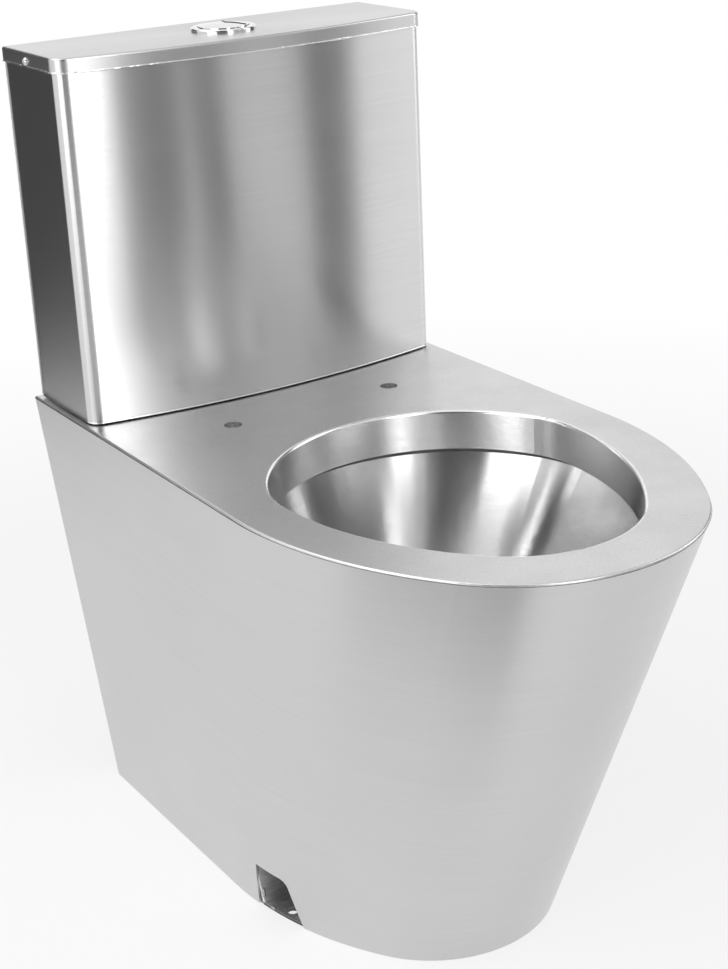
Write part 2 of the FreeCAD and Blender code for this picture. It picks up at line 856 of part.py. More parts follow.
# Flush duct: a folded channel under the deck, from below the cistern to the rim channel
def make_duct():
    wall = d.pan_sheet
    duct_back = back - d.duct_inset
    outside = block("duct_outside", (-duct_half, ZERO, duct_foot), (duct_half, duct_back, deck_under))
    inside = block("duct_inside", (wall - duct_half, ZERO, duct_foot + wall),
                   (duct_half - wall, duct_back - wall, d.deck_height))
    return cut("duct_shell", outside, inside, collar_outside)


keep("flush_duct", make_duct())


# Foot brackets: floor plates with a screw hole behind the notches and an upright at their rear end, welded
# inside the skirt
def make_foot_brackets():
    hole_x = d.foot_hole_spacing / 2
    upright_face = back - d.notch_from_back - d.foot_upright_inset
    hole_y = upright_face - d.foot_hole_from_upright
    inner = d.foot_plate_width / 2 - hole_x
    rear = upright_face + d.foot_upright_sheet
    front = rear - d.foot_plate_length
    plate = block("foot_plate", (-base_half, front, ZERO), (inner, rear, d.foot_plate_sheet))
    upright = block("foot_upright", (-base_half, upright_face, ZERO), (inner, rear, d.foot_upright_height))
    angle = fuse("foot_angle", plate, upright)
    trimmed = common("foot_trimmed", angle, skirt_hollow)
    hole = cylinder("foot_hole", d.foot_hole_diameter / 2, d.foot_plate_sheet, (-hole_x, hole_y, ZERO))
    return mirrored_pair("foot_pair", cut("foot_left", trimmed, hole))


keep("foot_brackets", make_foot_brackets())


# Seat bushes: short sleeves under the deck's seat holes
seat_bore = d.seat_hole_diameter / 2
keep("seat_bushes", mirrored_pair("bush_pair", ring(
    "bush", seat_bore, seat_bore + d.seat_bush_wall, deck_under - d.seat_bush_length, deck_under,
    -d.seat_hole_spacing / 2, seat_y)))


# Cistern sheets: a bowed wrap, a flat back and a base with its holes
tank_bow_centre = named("tank_bow_centre", tank_back - d.tank_depth + d.tank_front_radius)
corner_x = named("corner_x", tank_half - d.tank_corner_radius)
corner_reach = named("corner_reach", d.tank_front_radius - d.tank_corner_radius)
corner_drop = named("corner_drop", root(corner_reach * corner_reach - corner_x * corner_x))
corner_y = named("corner_y", tank_bow_centre - corner_drop)


def tank_run(name, grow):
    """Left to right round the cistern's front, grown by an offset."""
    front = d.tank_front_radius + grow
    x = named(name + "_bow_x", corner_x * front / corner_reach)
    y = named(name + "_bow_y", tank_bow_centre - corner_drop * front / corner_reach)
    corner = d.tank_corner_radius + grow
    half = tank_half + grow
    return [(-half, corner_y), (-x, y), (x, y), (half, corner_y)], [(corner, 1), (front, 1), (corner, 1)]


def tank_outline(name, grow, back_y):
    corners, bends = tank_run(name, grow)
    half = tank_half + grow
    return corners + [(half, back_y), (-half, back_y)], bends + [None, None, None]


lid_screw_y = named("lid_screw_y", back - d.lid_screw_from_back)
lid_screw_z = named("lid_screw_z", lid_top - d.lid_screw_drop)
lid_screw_hole = cylinder("lid_screw_hole", d.lid_screw_diameter / 2 + d.lid_screw_clearance, 2 * d.tank_width,
                          (-d.tank_width, lid_screw_y, lid_screw_z), "x")
inner_half = tank_half - d.tank_sheet


def make_tank_wrap():
    body = new_body("wrap")
    sketch = new_sketch(body, "wrap_outline", lift=tank_foot)
    outer, outer_bends = tank_run("wrap_outer", ZERO)
    inner, inner_bends = reverse_run(*tank_run("wrap_inner", -d.tank_sheet))
    corners = outer + [(tank_half, tank_back), (inner_half, tank_back)]
    corners += inner + [(-inner_half, tank_back), (-tank_half, tank_back)]
    add_chain(sketch, corners, outer_bends + [None] * 3 + inner_bends + [None] * 3)
    pad(body, sketch, lid_under - tank_foot)
    return cut("wrap_drilled", body, lid_screw_hole)


keep("tank_wrap", make_tank_wrap())
keep("tank_back", block("tank_back_sheet", (-inner_half, tank_back - d.tank_sheet, tank_foot),
                        (inner_half, tank_back, lid_under)))


def make_tank_base():
    body = new_body("base")
    sketch = new_sketch(body, "base_outline", lift=tank_foot)
    add_chain(sketch, *tank_outline("base", -d.tank_sheet, tank_back - d.tank_sheet))
    add_circle(sketch, ZERO, valve_y, d.valve_tail_diameter / 2 + d.fit_clearance)
    add_circle(sketch, fill_x, valve_y, d.fill_shank_diameter / 2 + d.fit_clearance)
    for side in (-1, 1):
        add_circle(sketch, side * tank_bolt_x, valve_y, bolt_hole)
    pad(body, sketch, d.tank_sheet)
    return body


keep("tank_base", make_tank_base())


# Lid: a flat top with a folded rim that slips over the cistern, held by a screw at each side
sleeve_radius = named("sleeve_radius", d.sleeve_diameter / 2)


def make_lid():
    body = new_body("lid")
    rim_foot = named("lid_rim_foot", lid_top - d.lid_rim)
    outer = named("lid_outer", d.lid_clearance + d.tank_sheet)
    sketch = new_sketch(body, "lid_outline", lift=rim_foot)
    add_chain(sketch, *tank_outline("lid_outer", outer, tank_back + outer))
    add_circle(sketch, ZERO, valve_y, sleeve_radius + d.fit_clearance)
    pad(body, sketch, d.lid_rim)
    doc.recompute()
    hollow = new_sketch(body, "lid_hollow", lift=rim_foot)
    add_chain(hollow, *tank_outline("lid_inner", d.lid_clearance, tank_back + d.lid_clearance))
    shell = pocket(body, hollow, d.lid_rim - d.tank_sheet, upward=True)
    round_top(body, shell, lid_top, d.lid_edge_round)
    return cut("lid_drilled", body, lid_screw_hole)


keep("tank_lid", make_lid())


# Lid screws and the nuts inside the wrap that hold them
def make_lid_screw():
    """A round-head screw that points along +X from the lid's left rim."""
    shank = d.lid_screw_diameter / 2
    head = d.lid_screw_head / 2
    rise = d.lid_screw_head_height
    dome = (head * head + rise * rise) / (2 * rise)
    under = tank_half + d.lid_clearance + d.tank_sheet
    screw = turned("lid_screw", [
        (ZERO, -d.lid_screw_length), (shank, -d.lid_screw_length), (shank, ZERO), (head, ZERO),
        (ZERO, rise)], bends=[None, None, None, (dome, 1), None])
    screw.Placement = FreeCAD.Placement(vector(0, 0, 0), FreeCAD.Rotation(vector(0, 1, 0), -90))
    return move(screw, -under, lid_screw_y, lid_screw_z)


keep("lid_screws", mirrored_pair("lid_screw_pair", make_lid_screw()))


def make_lid_nut():
    start = (-inner_half, lid_screw_y, lid_screw_z)
    outside = cylinder("lid_nut_outside", d.lid_nut_diameter / 2, d.lid_nut_length, start, "x")
    inside = cylinder("lid_nut_inside", d.lid_screw_diameter / 2, d.lid_nut_length, start, "x")
    return cut("lid_nut", outside, inside)


keep("lid_nuts", mirrored_pair("lid_nut_pair", make_lid_nut()))


# Cistern fixing: gasket round the flush hole, and two bolts with seals, washers and wing nuts
gasket_inner = d.deck_flush_hole / 2 + d.fit_clearance
keep("coupling_gasket", ring("gasket", gasket_inner, gasket_inner + d.gasket_width, d.deck_height, tank_foot,
                             y=valve_y))
seal_top = named("seal_top", tank_floor + d.seal_sheet)
washer_under = named("washer_under", deck_under - d.deck_washer_sheet)
wing_foot = named("wing_foot", washer_under - d.wing_hub_height)
bolt_radius = d.tank_bolt_diameter / 2


def make_tank_bolt():
    head = d.tank_bolt_head / 2
    head_top = seal_top + d.tank_bolt_head_height
    bolt_foot = wing_foot - d.bolt_end
    return turned("tank_bolt", [(ZERO, bolt_foot), (bolt_radius, bolt_foot), (bolt_radius, seal_top),
                                (head, seal_top), (head, head_top), (ZERO, head_top)], -tank_bolt_x, valve_y)


def make_wing_nut():
    hub = ring("wing_hub_ring", bolt_radius, d.wing_hub / 2, wing_foot, washer_under, -tank_bolt_x, valve_y)
    wing = block("wing", (-tank_bolt_x - d.wing_span / 2, valve_y - d.wing_sheet / 2, wing_foot - d.wing_rise),
                 (d.wing_span / 2 - tank_bolt_x, valve_y + d.wing_sheet / 2, washer_under - d.wing_rise))
    bore = cylinder("wing_bore", d.wing_hub / 2, d.wing_hub_height + d.wing_rise,
                    (-tank_bolt_x, valve_y, wing_foot - d.wing_rise))
    return fuse("wing_nut", hub, cut("wings", wing, bore))


keep("tank_bolts", mirrored_pair("tank_bolt_pair", make_tank_bolt()))
keep("tank_bolt_seals", mirrored_pair("tank_bolt_seal_pair", ring(
    "tank_bolt_seal_ring", bolt_radius, d.tank_bolt_seal / 2, tank_floor, seal_top, -tank_bolt_x, valve_y)))
keep("deck_washers", mirrored_pair("deck_washer_pair", ring(
    "deck_washer_ring", bolt_radius, d.deck_washer / 2, washer_under, deck_under, -tank_bolt_x, valve_y)))
keep("wing_nuts", mirrored_pair("wing_nut_pair", make_wing_nut()))


# Flush button: a bezel with a sleeve through the lid, two button halves, rods and return springs
rod_radius = named("rod_radius", d.rod_diameter / 2)
rod_y = named("rod_y", valve_y - d.rod_forward)
sleeve_bore = named("sleeve_bore", sleeve_radius - d.sleeve_wall)
sleeve_foot = named("sleeve_foot", lid_top - d.sleeve_depth)
bezel_floor_top = named("bezel_floor_top", sleeve_foot + d.bezel_floor)
bezel_top = named("bezel_top", lid_top + d.bezel_height)
button_radius = named("button_radius", sleeve_bore - d.button_clearance)
button_edge = named("button_edge", bezel_top + d.button_edge_rise)
button_under = named("button_under", button_edge - d.button_sheet)


def make_bezel():
    flange = d.bezel_diameter / 2
    shoulder = bezel_top - d.bezel_round
    section = [(ZERO, sleeve_foot), (sleeve_radius, sleeve_foot), (sleeve_radius, lid_top), (flange, lid_top),
               (flange, shoulder), (flange - d.bezel_round, bezel_top), (sleeve_bore, bezel_top),
               (sleeve_bore, bezel_floor_top), (ZERO, bezel_floor_top)]
    bends = [None] * 4 + [(d.bezel_round, 1)] + [None] * 4
    body = turned("bezel", section, y=valve_y, bends=bends)
    guides = []
    for name, side in (("left", -1), ("right", 1)):
        guides.append(cylinder("rod_guide_" + name, rod_radius + d.rod_guide_clearance, d.bezel_floor,
                               (side * d.rod_side, rod_y, sleeve_foot)))
    return cut("bezel_drilled", body, *guides)


keep("button_bezel", make_bezel())
keep("button_ring_nut", ring("ring_nut", sleeve_radius, d.ring_nut_diameter / 2, lid_under - d.ring_nut_height,
                             lid_under, y=valve_y))


def button_disc(name):
    dome_top = button_edge + d.button_dome
    dome_radius = (button_radius * button_radius + d.button_dome * d.button_dome) / (2 * d.button_dome)
    return turned(name, [(ZERO, button_under), (button_radius, button_under), (button_radius, button_edge),
                         (ZERO, dome_top)], y=valve_y, bends=[None, None, (dome_radius, 1), None])


def button_wedge(name, spread):
    """The half-flush sector of the button, widened on both sides by a spread."""
    body = new_body(name)
    sketch = new_sketch(body, name + "_outline", lift=sleeve_foot)
    half_angle = d.split_angle / 2
    first = d.split_turn - half_angle
    last = d.split_turn + half_angle
    tip = d.split_vertex - spread / sine(half_angle)
    reach = d.bezel_diameter
    start = (tip * cosine(d.split_turn), tip * sine(d.split_turn))
    right = (start[0] + reach * cosine(first), start[1] + reach * sine(first))
    left = (start[0] + reach * cosine(last), start[1] + reach * sine(last))
    add_polygon(sketch, [start, right, left])
    pad(body, sketch, d.sleeve_depth + d.bezel_diameter)
    return move(body, y=valve_y)


keep("full_flush_button", cut("full_button", button_disc("full_disc"),
                              button_wedge("full_wedge", d.button_split / 2)))
keep("half_flush_button", common("half_button", button_disc("half_disc"),
                                 button_wedge("half_wedge", -d.button_split / 2)))

# Heights in the flush valve, from the cistern's floor up
flange_top = named("flange_top", seal_top + d.valve_flange_sheet)
seat_top = named("seat_top", flange_top + d.seat_height)
cage_top = named("cage_top", flange_top + d.cage_height)
guide_top = named("guide_top", cage_top + d.cage_wall + d.guide_height)
lever_axis_z = named("lever_axis_z", guide_top + d.lever_axis_rise)
lever_axis_y = named("lever_axis_y", rod_y + d.lever_push_arm)
lever_top = named("lever_top", lever_axis_z + d.lever_thickness / 2)
rod_tip = named("rod_tip", lever_top + d.lever_gap)


def make_rod(name, side):
    """A push rod that hangs from its button, with a collar under the bezel's floor and a round tip."""
    collar_top = sleeve_foot - d.fit_clearance
    collar_low = collar_top - d.rod_collar_height
    section = [(ZERO, rod_tip), (rod_radius, rod_tip + rod_radius), (rod_radius, collar_low),
               (d.rod_collar / 2, collar_low), (d.rod_collar / 2, collar_top), (rod_radius, collar_top),
               (rod_radius, button_under), (ZERO, button_under)]
    return turned(name, section, side * d.rod_side, rod_y, bends=[(rod_radius, 1)] + [None] * 7)


def make_spring(name, side):
    """A coil spring between the bezel's floor and the button."""
    body = new_body(name)
    sketch = new_sketch(body, name + "_wire", "XZ_Plane")
    wire = d.spring_wire / 2
    low = bezel_floor_top + d.spring_wire
    high = button_under - d.spring_wire
    add_circle(sketch, d.spring_diameter / 2 - wire, low, wire)
    feature = body.newObject("PartDesign::AdditiveHelix", name + "_coil")
    feature.Profile = sketch
    feature.ReferenceAxis = (sketch, ["V_Axis"])
    feature.Mode = "height-turns-angle"
    bind(feature, "Height", high - low)
    bind(feature, "Turns", d.spring_turns)
    return move(body, side * d.rod_side, rod_y)


for label, side in (("full", -1), ("half", 1)):
    keep(label + "_flush_rod", make_rod(label + "_rod", side))
    keep(label + "_flush_spring", make_spring(label + "_spring", side))


# Flush valve: base with tail and seat, washer, nut and cage
tail_radius = named("tail_radius", d.valve_tail_diameter / 2)
valve_bore = named("valve_bore", d.valve_bore / 2)
tube_radius = named("tube_radius", d.tube_diameter / 2)


def make_valve_base():
    tail_foot = tank_foot - d.valve_tail_length
    seat_outer = valve_bore + d.seat_wall
    flange = d.valve_flange / 2
    return turned("valve_base", [
        (valve_bore, tail_foot), (tail_radius, tail_foot), (tail_radius, seal_top), (flange, seal_top),
        (flange, flange_top), (seat_outer, flange_top), (seat_outer, seat_top), (valve_bore, seat_top)],
        y=valve_y)


keep("flush_valve_base", make_valve_base())
keep("flush_valve_washer", ring("valve_washer", tail_radius, d.valve_flange / 2, tank_floor, seal_top,
                                y=valve_y))
keep("flush_valve_nut", hexagon_nut("valve_nut", d.valve_nut_width, tail_radius,
                                    tank_foot - d.valve_nut_height, d.valve_nut_height, y=valve_y))

ear_inner = d.lever_width / 2 + d.ear_gap


def ear_pair(name, middle, low, high, along):
    """Two upright ears beside a lever; low and high are the corners of the space across the lever."""
    ears = []
    for index, side in enumerate((-1, 1)):
        near = middle + side * ear_inner
        far = middle + side * (ear_inner + d.ear_sheet)
        first, last = (near, far) if side > 0 else (far, near)
        if along == "x":
            corners = ((first, low[0], low[1]), (last, high[0], high[1]))
        else:
            corners = ((low[0], first, low[1]), (high[0], last, high[1]))
        ears.append(block("%s_%d" % (name, index), *corners))
    return ears


pin_radius = named("pin_radius", d.pin_diameter / 2)
pin_length = named("pin_length", 2 * (ear_inner + d.ear_sheet))


def lever_pin(name, side, radius):
    start = (side * d.rod_side - pin_length / 2, lever_axis_y, lever_axis_z)
    return cylinder(name, radius, pin_length, start, "x")


# Half-flush ports: one slot right through the guide and the tube, on both sides
guide_bore = named("guide_bore", tube_radius + d.guide_clearance)
guide_outer = named("guide_outer", guide_bore + d.guide_wall)
port_foot = named("port_foot", cage_top + d.port_rise)
sleeve_stop = named("sleeve_stop", port_foot - d.sleeve_lap)
flush_port = block("flush_port", (-guide_outer, valve_y - d.port_width / 2, port_foot),
                   (guide_outer, valve_y + d.port_width / 2, port_foot + d.port_height))


def make_cage():
    outer = d.cage_diameter / 2
    inner = outer - d.cage_wall
    shoulder = cage_top + d.cage_wall
    stop = guide_outer + d.sleeve_stop_width
    stop_foot = sleeve_stop - d.sleeve_stop_sheet
    plate = d.guide_top_width / 2
    plate_foot = guide_top - d.guide_top_sheet
    body = turned("cage", [
        (inner, flange_top), (outer, flange_top), (outer, shoulder), (guide_outer, shoulder),
        (guide_outer, stop_foot), (stop, stop_foot), (stop, sleeve_stop), (guide_outer, sleeve_stop),
        (guide_outer, plate_foot), (plate, plate_foot), (plate, guide_top), (guide_bore, guide_top),
        (guide_bore, cage_top), (inner, cage_top)], y=valve_y)
    doc.recompute()
    for role in ("XZ_Plane", "YZ_Plane"):
        window = new_sketch(body, "cage_window_" + role[:2], role)
        half = d.cage_window / 2
        low = flange_top + d.cage_sill
        high = cage_top - d.cage_sill
        add_polygon(window, [(-half, low), (half, low), (half, high), (-half, high)])
        pocket(body, window)
    ears = []
    for name, side in (("left_ear", -1), ("right_ear", 1)):
        ears += ear_pair(name, side * d.rod_side, (lever_axis_y - d.ear_reach, guide_top),
                         (lever_axis_y + d.ear_reach, lever_axis_z + d.ear_reach), "x")
    frame = fuse("cage_with_ears", body, *ears)
    return cut("cage_drilled", frame, flush_port, lever_pin("left_pin_hole", -1, pin_radius),
               lever_pin("right_pin_hole", 1, pin_radius))


keep("flush_valve_cage", make_cage())
keep("lever_pins", mirrored_pair("lever_pin_pair", lever_pin("lever_pin_left", -1, pin_radius)))


# Overflow tube with its seal, float and lift yoke, which rise together when the valve opens
seal_foot = named("seal_foot", seat_top + d.seat_clearance)
tube_flange_foot = named("tube_flange_foot", seal_foot + d.seal_sheet)
tube_flange_top = named("tube_flange_top", tube_flange_foot + d.tube_flange_sheet)
seal_radius = named("seal_radius", valve_bore + d.seat_wall)
tube_bore = named("tube_bore", tube_radius - d.tube_wall)
tube_top = named("tube_top", guide_top - d.tube_top_drop)


def make_tube():
    foot = seal_foot - d.tube_skirt
    body = turned("tube", [
        (tube_bore, foot), (tube_radius, foot), (tube_radius, tube_flange_foot),
        (seal_radius, tube_flange_foot), (seal_radius, tube_flange_top), (tube_radius, tube_flange_top),
        (tube_radius, tube_top), (tube_bore, tube_top)], y=valve_y)
    return cut("tube_ported", body, flush_port)


keep("overflow_tube", make_tube())
keep("flush_seal", ring("seal", tube_radius, seal_radius, seal_foot, tube_flange_foot, y=valve_y))
keep("valve_float", ring("lift_float", tube_radius, d.valve_float_diameter / 2,
                         tube_flange_top, tube_flange_top + d.valve_float_height, y=valve_y))

yoke_foot = named("yoke_foot", lever_top + d.lever_gap)
yoke_top = named("yoke_top", yoke_foot + d.yoke_sheet)
lift_y = named("lift_y", lever_axis_y + d.lever_lift_arm)


def make_yoke():
    spider_top = tube_top - d.spider_drop
    spider_foot = spider_top - d.spider_height
    web = d.yoke_web / 2
    pad_half = d.yoke_pad / 2
    wing = d.rod_side + d.lever_width / 2
    thin = d.spider_sheet / 2
    arm = named("spider_arm", root(tube_bore * tube_bore - thin * thin))
    stem = cylinder("stem", d.stem_diameter / 2, yoke_top - spider_foot, (ZERO, valve_y, spider_foot))
    spider = block("spider", (-arm, valve_y - thin, spider_foot), (arm, valve_y + thin, spider_top))
    web_bar = block("web_bar", (-web, valve_y, yoke_foot), (web, lift_y, yoke_top))
    lift_bar = block("lift_bar", (-wing, lift_y - pad_half, yoke_foot), (web, lift_y + pad_half, yoke_top))
    return fuse("yoke", stem, spider, web_bar, lift_bar)


keep("lift_yoke", make_yoke())


# Half-flush sleeve: a ring that covers the ports, with a strap and hook that the half lever lifts
def make_sleeve():
    inner = guide_outer + d.sleeve_gap
    outer = inner + d.sleeve_wall_thickness
    foot = sleeve_stop + d.seat_clearance
    top = port_foot + d.port_height + d.sleeve_lap
    cover = ring("port_cover", inner, outer, foot, top, y=valve_y)
    near = d.rod_side - d.lever_width / 2
    far = d.rod_side + d.lever_width / 2
    strap_front = named("strap_front", lift_y + d.lever_thickness / 2 + d.strap_gap)
    strap_back = strap_front + d.strap_sheet
    strap = block("sleeve_strap", (near, strap_front, foot), (far, strap_back, yoke_top))
    hook = block("sleeve_hook", (near, lift_y - d.yoke_pad / 2, yoke_foot), (far, strap_back, yoke_top))
    arm = block("sleeve_arm", (near, valve_y, foot), (far, strap_back, top))
    room = cylinder("sleeve_room", inner, top - foot, (ZERO, valve_y, foot))
    return fuse("sleeve", cover, cut("sleeve_arm_cut", arm, room), strap, hook)


keep("half_flush_sleeve", make_sleeve())


# Rocker levers: the rod presses the front end, and the rounded rear end lifts the yoke
def make_lever(name, side):
    body = new_body(name)
    sketch = new_sketch(body, name + "_outline", "YZ_Plane")
    half = d.lever_thickness / 2
    front = -(d.lever_push_arm + d.lever_pad)
    top_end = (d.lever_lift_arm, half)
    tip = (d.lever_lift_arm + half, ZERO)
    low_end = (d.lever_lift_arm, -half)
    add_chain(sketch, [(front, -half), low_end, tip, top_end, (front, half)],
              [None, (half, 1), (half, 1), None, None])
    add_circle(sketch, ZERO, ZERO, pin_radius + d.pin_clearance)
    pad(body, sketch, d.lever_width, symmetric=True)
    return move(body, side * d.rod_side, lever_axis_y, lever_axis_z)


keep("full_lever", make_lever("left_lever", -1))
keep("half_lever", make_lever("right_lever", 1))


# Fill valve: a column with a shank through the base and a threaded tail, its washer, nut and cap
shank = named("fill_shank", d.fill_shank_diameter / 2)
shank_foot = named("shank_foot", tank_foot - d.fill_nut_height)
head_foot = named("head_foot", lid_top - d.fill_head_drop)
head_top = named("head_top", head_foot + d.fill_head_height)
arm_axis_x = named("arm_axis_x", fill_x - d.arm_axis_out)
arm_axis_z = named("arm_axis_z", head_foot + d.fill_head_height / 2)


def arm_pin(name, radius):
    return cylinder(name, radius, pin_length, (arm_axis_x, valve_y - pin_length / 2, arm_axis_z), "y")


def make_fill_valve():
    bore = d.fill_bore / 2
    flange = d.fill_flange / 2
    flange_high = seal_top + d.fill_flange_sheet
    column = d.fill_column_diameter / 2
    head = d.fill_head_diameter / 2
    tail = d.fill_tail_diameter / 2
    tail_foot = tank_foot - d.fill_tail_length
    body = turned("fill_column", [
        (bore, tail_foot), (tail, tail_foot), (tail, shank_foot), (shank, shank_foot), (shank, seal_top),
        (flange, seal_top), (flange, flange_high), (column, flange_high), (column, head_foot),
        (head, head_foot), (head, head_top), (ZERO, head_top), (ZERO, head_foot), (bore, head_foot)],
        fill_x, valve_y)
    ears = ear_pair("arm_ear", valve_y, (arm_axis_x - d.ear_reach, arm_axis_z - d.ear_reach),
                    (fill_x, arm_axis_z + d.ear_reach), "y")
    frame = fuse("fill_with_ears", body, *ears)
    return cut("fill_drilled", frame, arm_pin("arm_pin_hole", pin_radius))


keep("fill_valve_body", make_fill_valve())
keep("fill_valve_washer", ring("fill_washer", shank, d.fill_flange / 2, tank_floor, seal_top, fill_x, valve_y))
keep("fill_valve_nut", hexagon_nut("fill_nut", d.fill_nut_width, shank, shank_foot, d.fill_nut_height,
                                   fill_x, valve_y))
cap_radius = d.fill_cap_diameter / 2
cap_top = head_top + d.fill_cap_height
keep("fill_valve_cap", turned("fill_cap", [
    (ZERO, head_top), (cap_radius, head_top), (cap_radius, cap_top - d.fill_cap_bevel),
    (cap_radius - d.fill_cap_bevel, cap_top), (ZERO, cap_top)], fill_x, valve_y))
keep("float_arm_pin", arm_pin("arm_pin", pin_radius))


# Float arm and float, modelled about the pin and hung at their lowest place
def hang(item, x=ZERO, z=ZERO):
    """Turn a piece about the arm's pin to the hanging angle; x and z are its place along the level arm."""
    swing = d.arm_hang_angle
    item.Placement = FreeCAD.Placement(vector(0, 0, 0), FreeCAD.Rotation(vector(0, -1, 0), swing.value))
    bind(item, "Placement.Rotation.Angle", swing)
    return move(item, arm_axis_x + x * cosine(swing) - z * sine(swing), valve_y,
                arm_axis_z + x * sine(swing) + z * cosine(swing))


def make_arm():
    body = new_body("arm")
    sketch = new_sketch(body, "arm_outline", "XZ_Plane")
    half = d.lever_thickness / 2
    far = -(d.arm_length + d.arm_end)
    add_polygon(sketch, [(far, -half), (d.arm_tail, -half), (d.arm_tail, half), (far, half)])
    add_circle(sketch, ZERO, ZERO, pin_radius + d.pin_clearance)
    pad(body, sketch, d.lever_width, symmetric=True)
    return hang(body)


def make_float():
    radius = d.float_diameter / 2
    high = -d.lever_thickness / 2
    low = high - d.float_height
    edge = d.float_round
    body = turned("ball_float", [
        (ZERO, low), (radius - edge, low), (radius, low + edge), (radius, high - edge), (radius - edge, high),
        (ZERO, high)], bends=[None, (edge, 1), None, (edge, 1), None, None])
    return hang(body, -d.arm_length)


keep("float_arm", make_arm())
keep("fill_float", make_float())


# Check every object, then write one file per piece
doc.recompute()
for item in doc.Objects:
    if "Invalid" in item.State or "Error" in item.State:
        raise ValueError("%s failed: %s" % (item.Name, item.State))
for name, item in nodes.items():
    if item.Shape.isNull() or not item.Shape.isValid():
        raise ValueError(name + " has no valid shape")
os.makedirs("parts", exist_ok=True)
for name, item in nodes.items():
    item.Shape.exportStep("parts/%s.step" % name)
    print("%-20s %d solid(s) %12.1f mm3" % (name, len(item.Shape.Solids), item.Shape.Volume))
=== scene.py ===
"""Looks of a compact close-coupled toilet in brushed stainless steel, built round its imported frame.

Metres, in the frame's own axes: +Z is up and the front faces -Y.
"""
import json
import math
import bmesh
import bpy
from mathutils import Matrix, Vector, noise
from mathutils.bvhtree import BVHTree


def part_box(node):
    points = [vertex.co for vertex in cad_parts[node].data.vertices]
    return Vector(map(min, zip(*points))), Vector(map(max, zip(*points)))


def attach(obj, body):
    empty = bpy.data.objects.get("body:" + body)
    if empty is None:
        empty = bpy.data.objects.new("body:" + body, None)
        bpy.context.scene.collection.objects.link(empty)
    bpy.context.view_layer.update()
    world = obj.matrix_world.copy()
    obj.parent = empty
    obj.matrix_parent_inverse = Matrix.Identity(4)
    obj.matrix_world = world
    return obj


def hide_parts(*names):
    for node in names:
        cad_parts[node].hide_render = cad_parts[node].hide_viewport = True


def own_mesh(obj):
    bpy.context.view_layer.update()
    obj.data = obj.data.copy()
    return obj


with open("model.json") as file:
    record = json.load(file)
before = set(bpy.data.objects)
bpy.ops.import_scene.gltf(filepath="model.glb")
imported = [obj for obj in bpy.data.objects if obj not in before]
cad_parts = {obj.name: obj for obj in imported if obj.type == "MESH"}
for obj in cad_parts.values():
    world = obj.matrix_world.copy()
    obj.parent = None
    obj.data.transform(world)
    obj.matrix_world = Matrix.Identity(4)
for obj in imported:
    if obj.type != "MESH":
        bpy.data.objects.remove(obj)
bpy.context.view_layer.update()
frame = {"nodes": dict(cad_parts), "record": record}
nodes = frame["nodes"]
scene = bpy.context.scene
scene.view_settings.view_transform = "Standard"
ROOT = "pan_and_cistern"
MM = 0.001
SIDES = (("left", -1), ("right", 1))


# Mesh and node helpers

def link_mesh(name, points, faces):
    mesh = bpy.data.meshes.new(name)
    mesh.from_pydata(points, [], faces)
    mesh.update()
    item = bpy.data.objects.new(name, mesh)
    scene.collection.objects.link(item)
    return item


def new_material(name):
    material = bpy.data.materials.new(name)
    material.use_nodes = True
    return material


def add_node(tree, kind, **settings):
    item = tree.nodes.new(kind)
    for key, value in settings.items():
        setattr(item, key, value)
    return item


def set_inputs(item, **values):
    """Set input values by socket name, with underscores for spaces."""
    for key, value in values.items():
        item.inputs[key.replace("_", " ")].default_value = value
    return item


def stretched_noise(tree, scale, detail=3.0, roughness=0.55):
    """Noise in the frame's own coordinates, with a scale per metre along each axis."""
    place = add_node(tree, "ShaderNodeTexCoord")
    mapping = add_node(tree, "ShaderNodeMapping")
    mapping.inputs["Scale"].default_value = scale
    field = add_node(tree, "ShaderNodeTexNoise")
    set_inputs(field, Scale=1.0, Detail=detail, Roughness=roughness)
    tree.links.new(place.outputs["Object"], mapping.inputs["Vector"])
    tree.links.new(mapping.outputs["Vector"], field.inputs["Vector"])
    return field.outputs["Fac"]


def remap(tree, source, low, high, from_low=0.3, from_high=0.7):
    item = add_node(tree, "ShaderNodeMapRange")
    set_inputs(item, From_Min=from_low, From_Max=from_high, To_Min=low, To_Max=high)
    tree.links.new(source, item.inputs["Value"])
    return item.outputs["Result"]


def calculate(tree, operation, first, second):
    item = add_node(tree, "ShaderNodeMath", operation=operation)
    for index, value in enumerate((first, second)):
        if isinstance(value, (int, float)):
            item.inputs[index].default_value = value
        else:
            tree.links.new(value, item.inputs[index])
    return item.outputs["Value"]


def two_tone(tree, source, dark, light):
    """A colour ramp between two colours, driven by a value from 0 to 1."""
    ramp = add_node(tree, "ShaderNodeValToRGB")
    ramp.color_ramp.elements[0].color = (*dark, 1.0)
    ramp.color_ramp.elements[1].color = (*light, 1.0)
    tree.links.new(source, ramp.inputs["Fac"])
    return ramp.outputs["Color"]


def grey(level, warmth=0.0):
    """A steel grey, a little warm or cold."""
    return (level * (1 + warmth), level, level * (1 - warmth))


def relief(tree, shader, height, strength, depth, base=None):
    """Bump the surface, on top of an earlier bump if there is one."""
    bump = add_node(tree, "ShaderNodeBump")
    set_inputs(bump, Strength=strength, Distance=depth)
    tree.links.new(height, bump.inputs["Height"])
    if base:
        tree.links.new(base.outputs["Normal"], bump.inputs["Normal"])
    tree.links.new(bump.outputs["Normal"], shader.inputs["Normal"])
    return bump


# Materials

FINE_GRAIN = 520.0
LONG_GRAIN = 9.0
SHORT_STROKES = (60.0, 60.0, FINE_GRAIN)
LEVEL_STROKES = (LONG_GRAIN, LONG_GRAIN, FINE_GRAIN)
CLOUD = 9.0
WAVES = (9.0, 9.0, 4.0)
LINE_RELIEF = 0.045


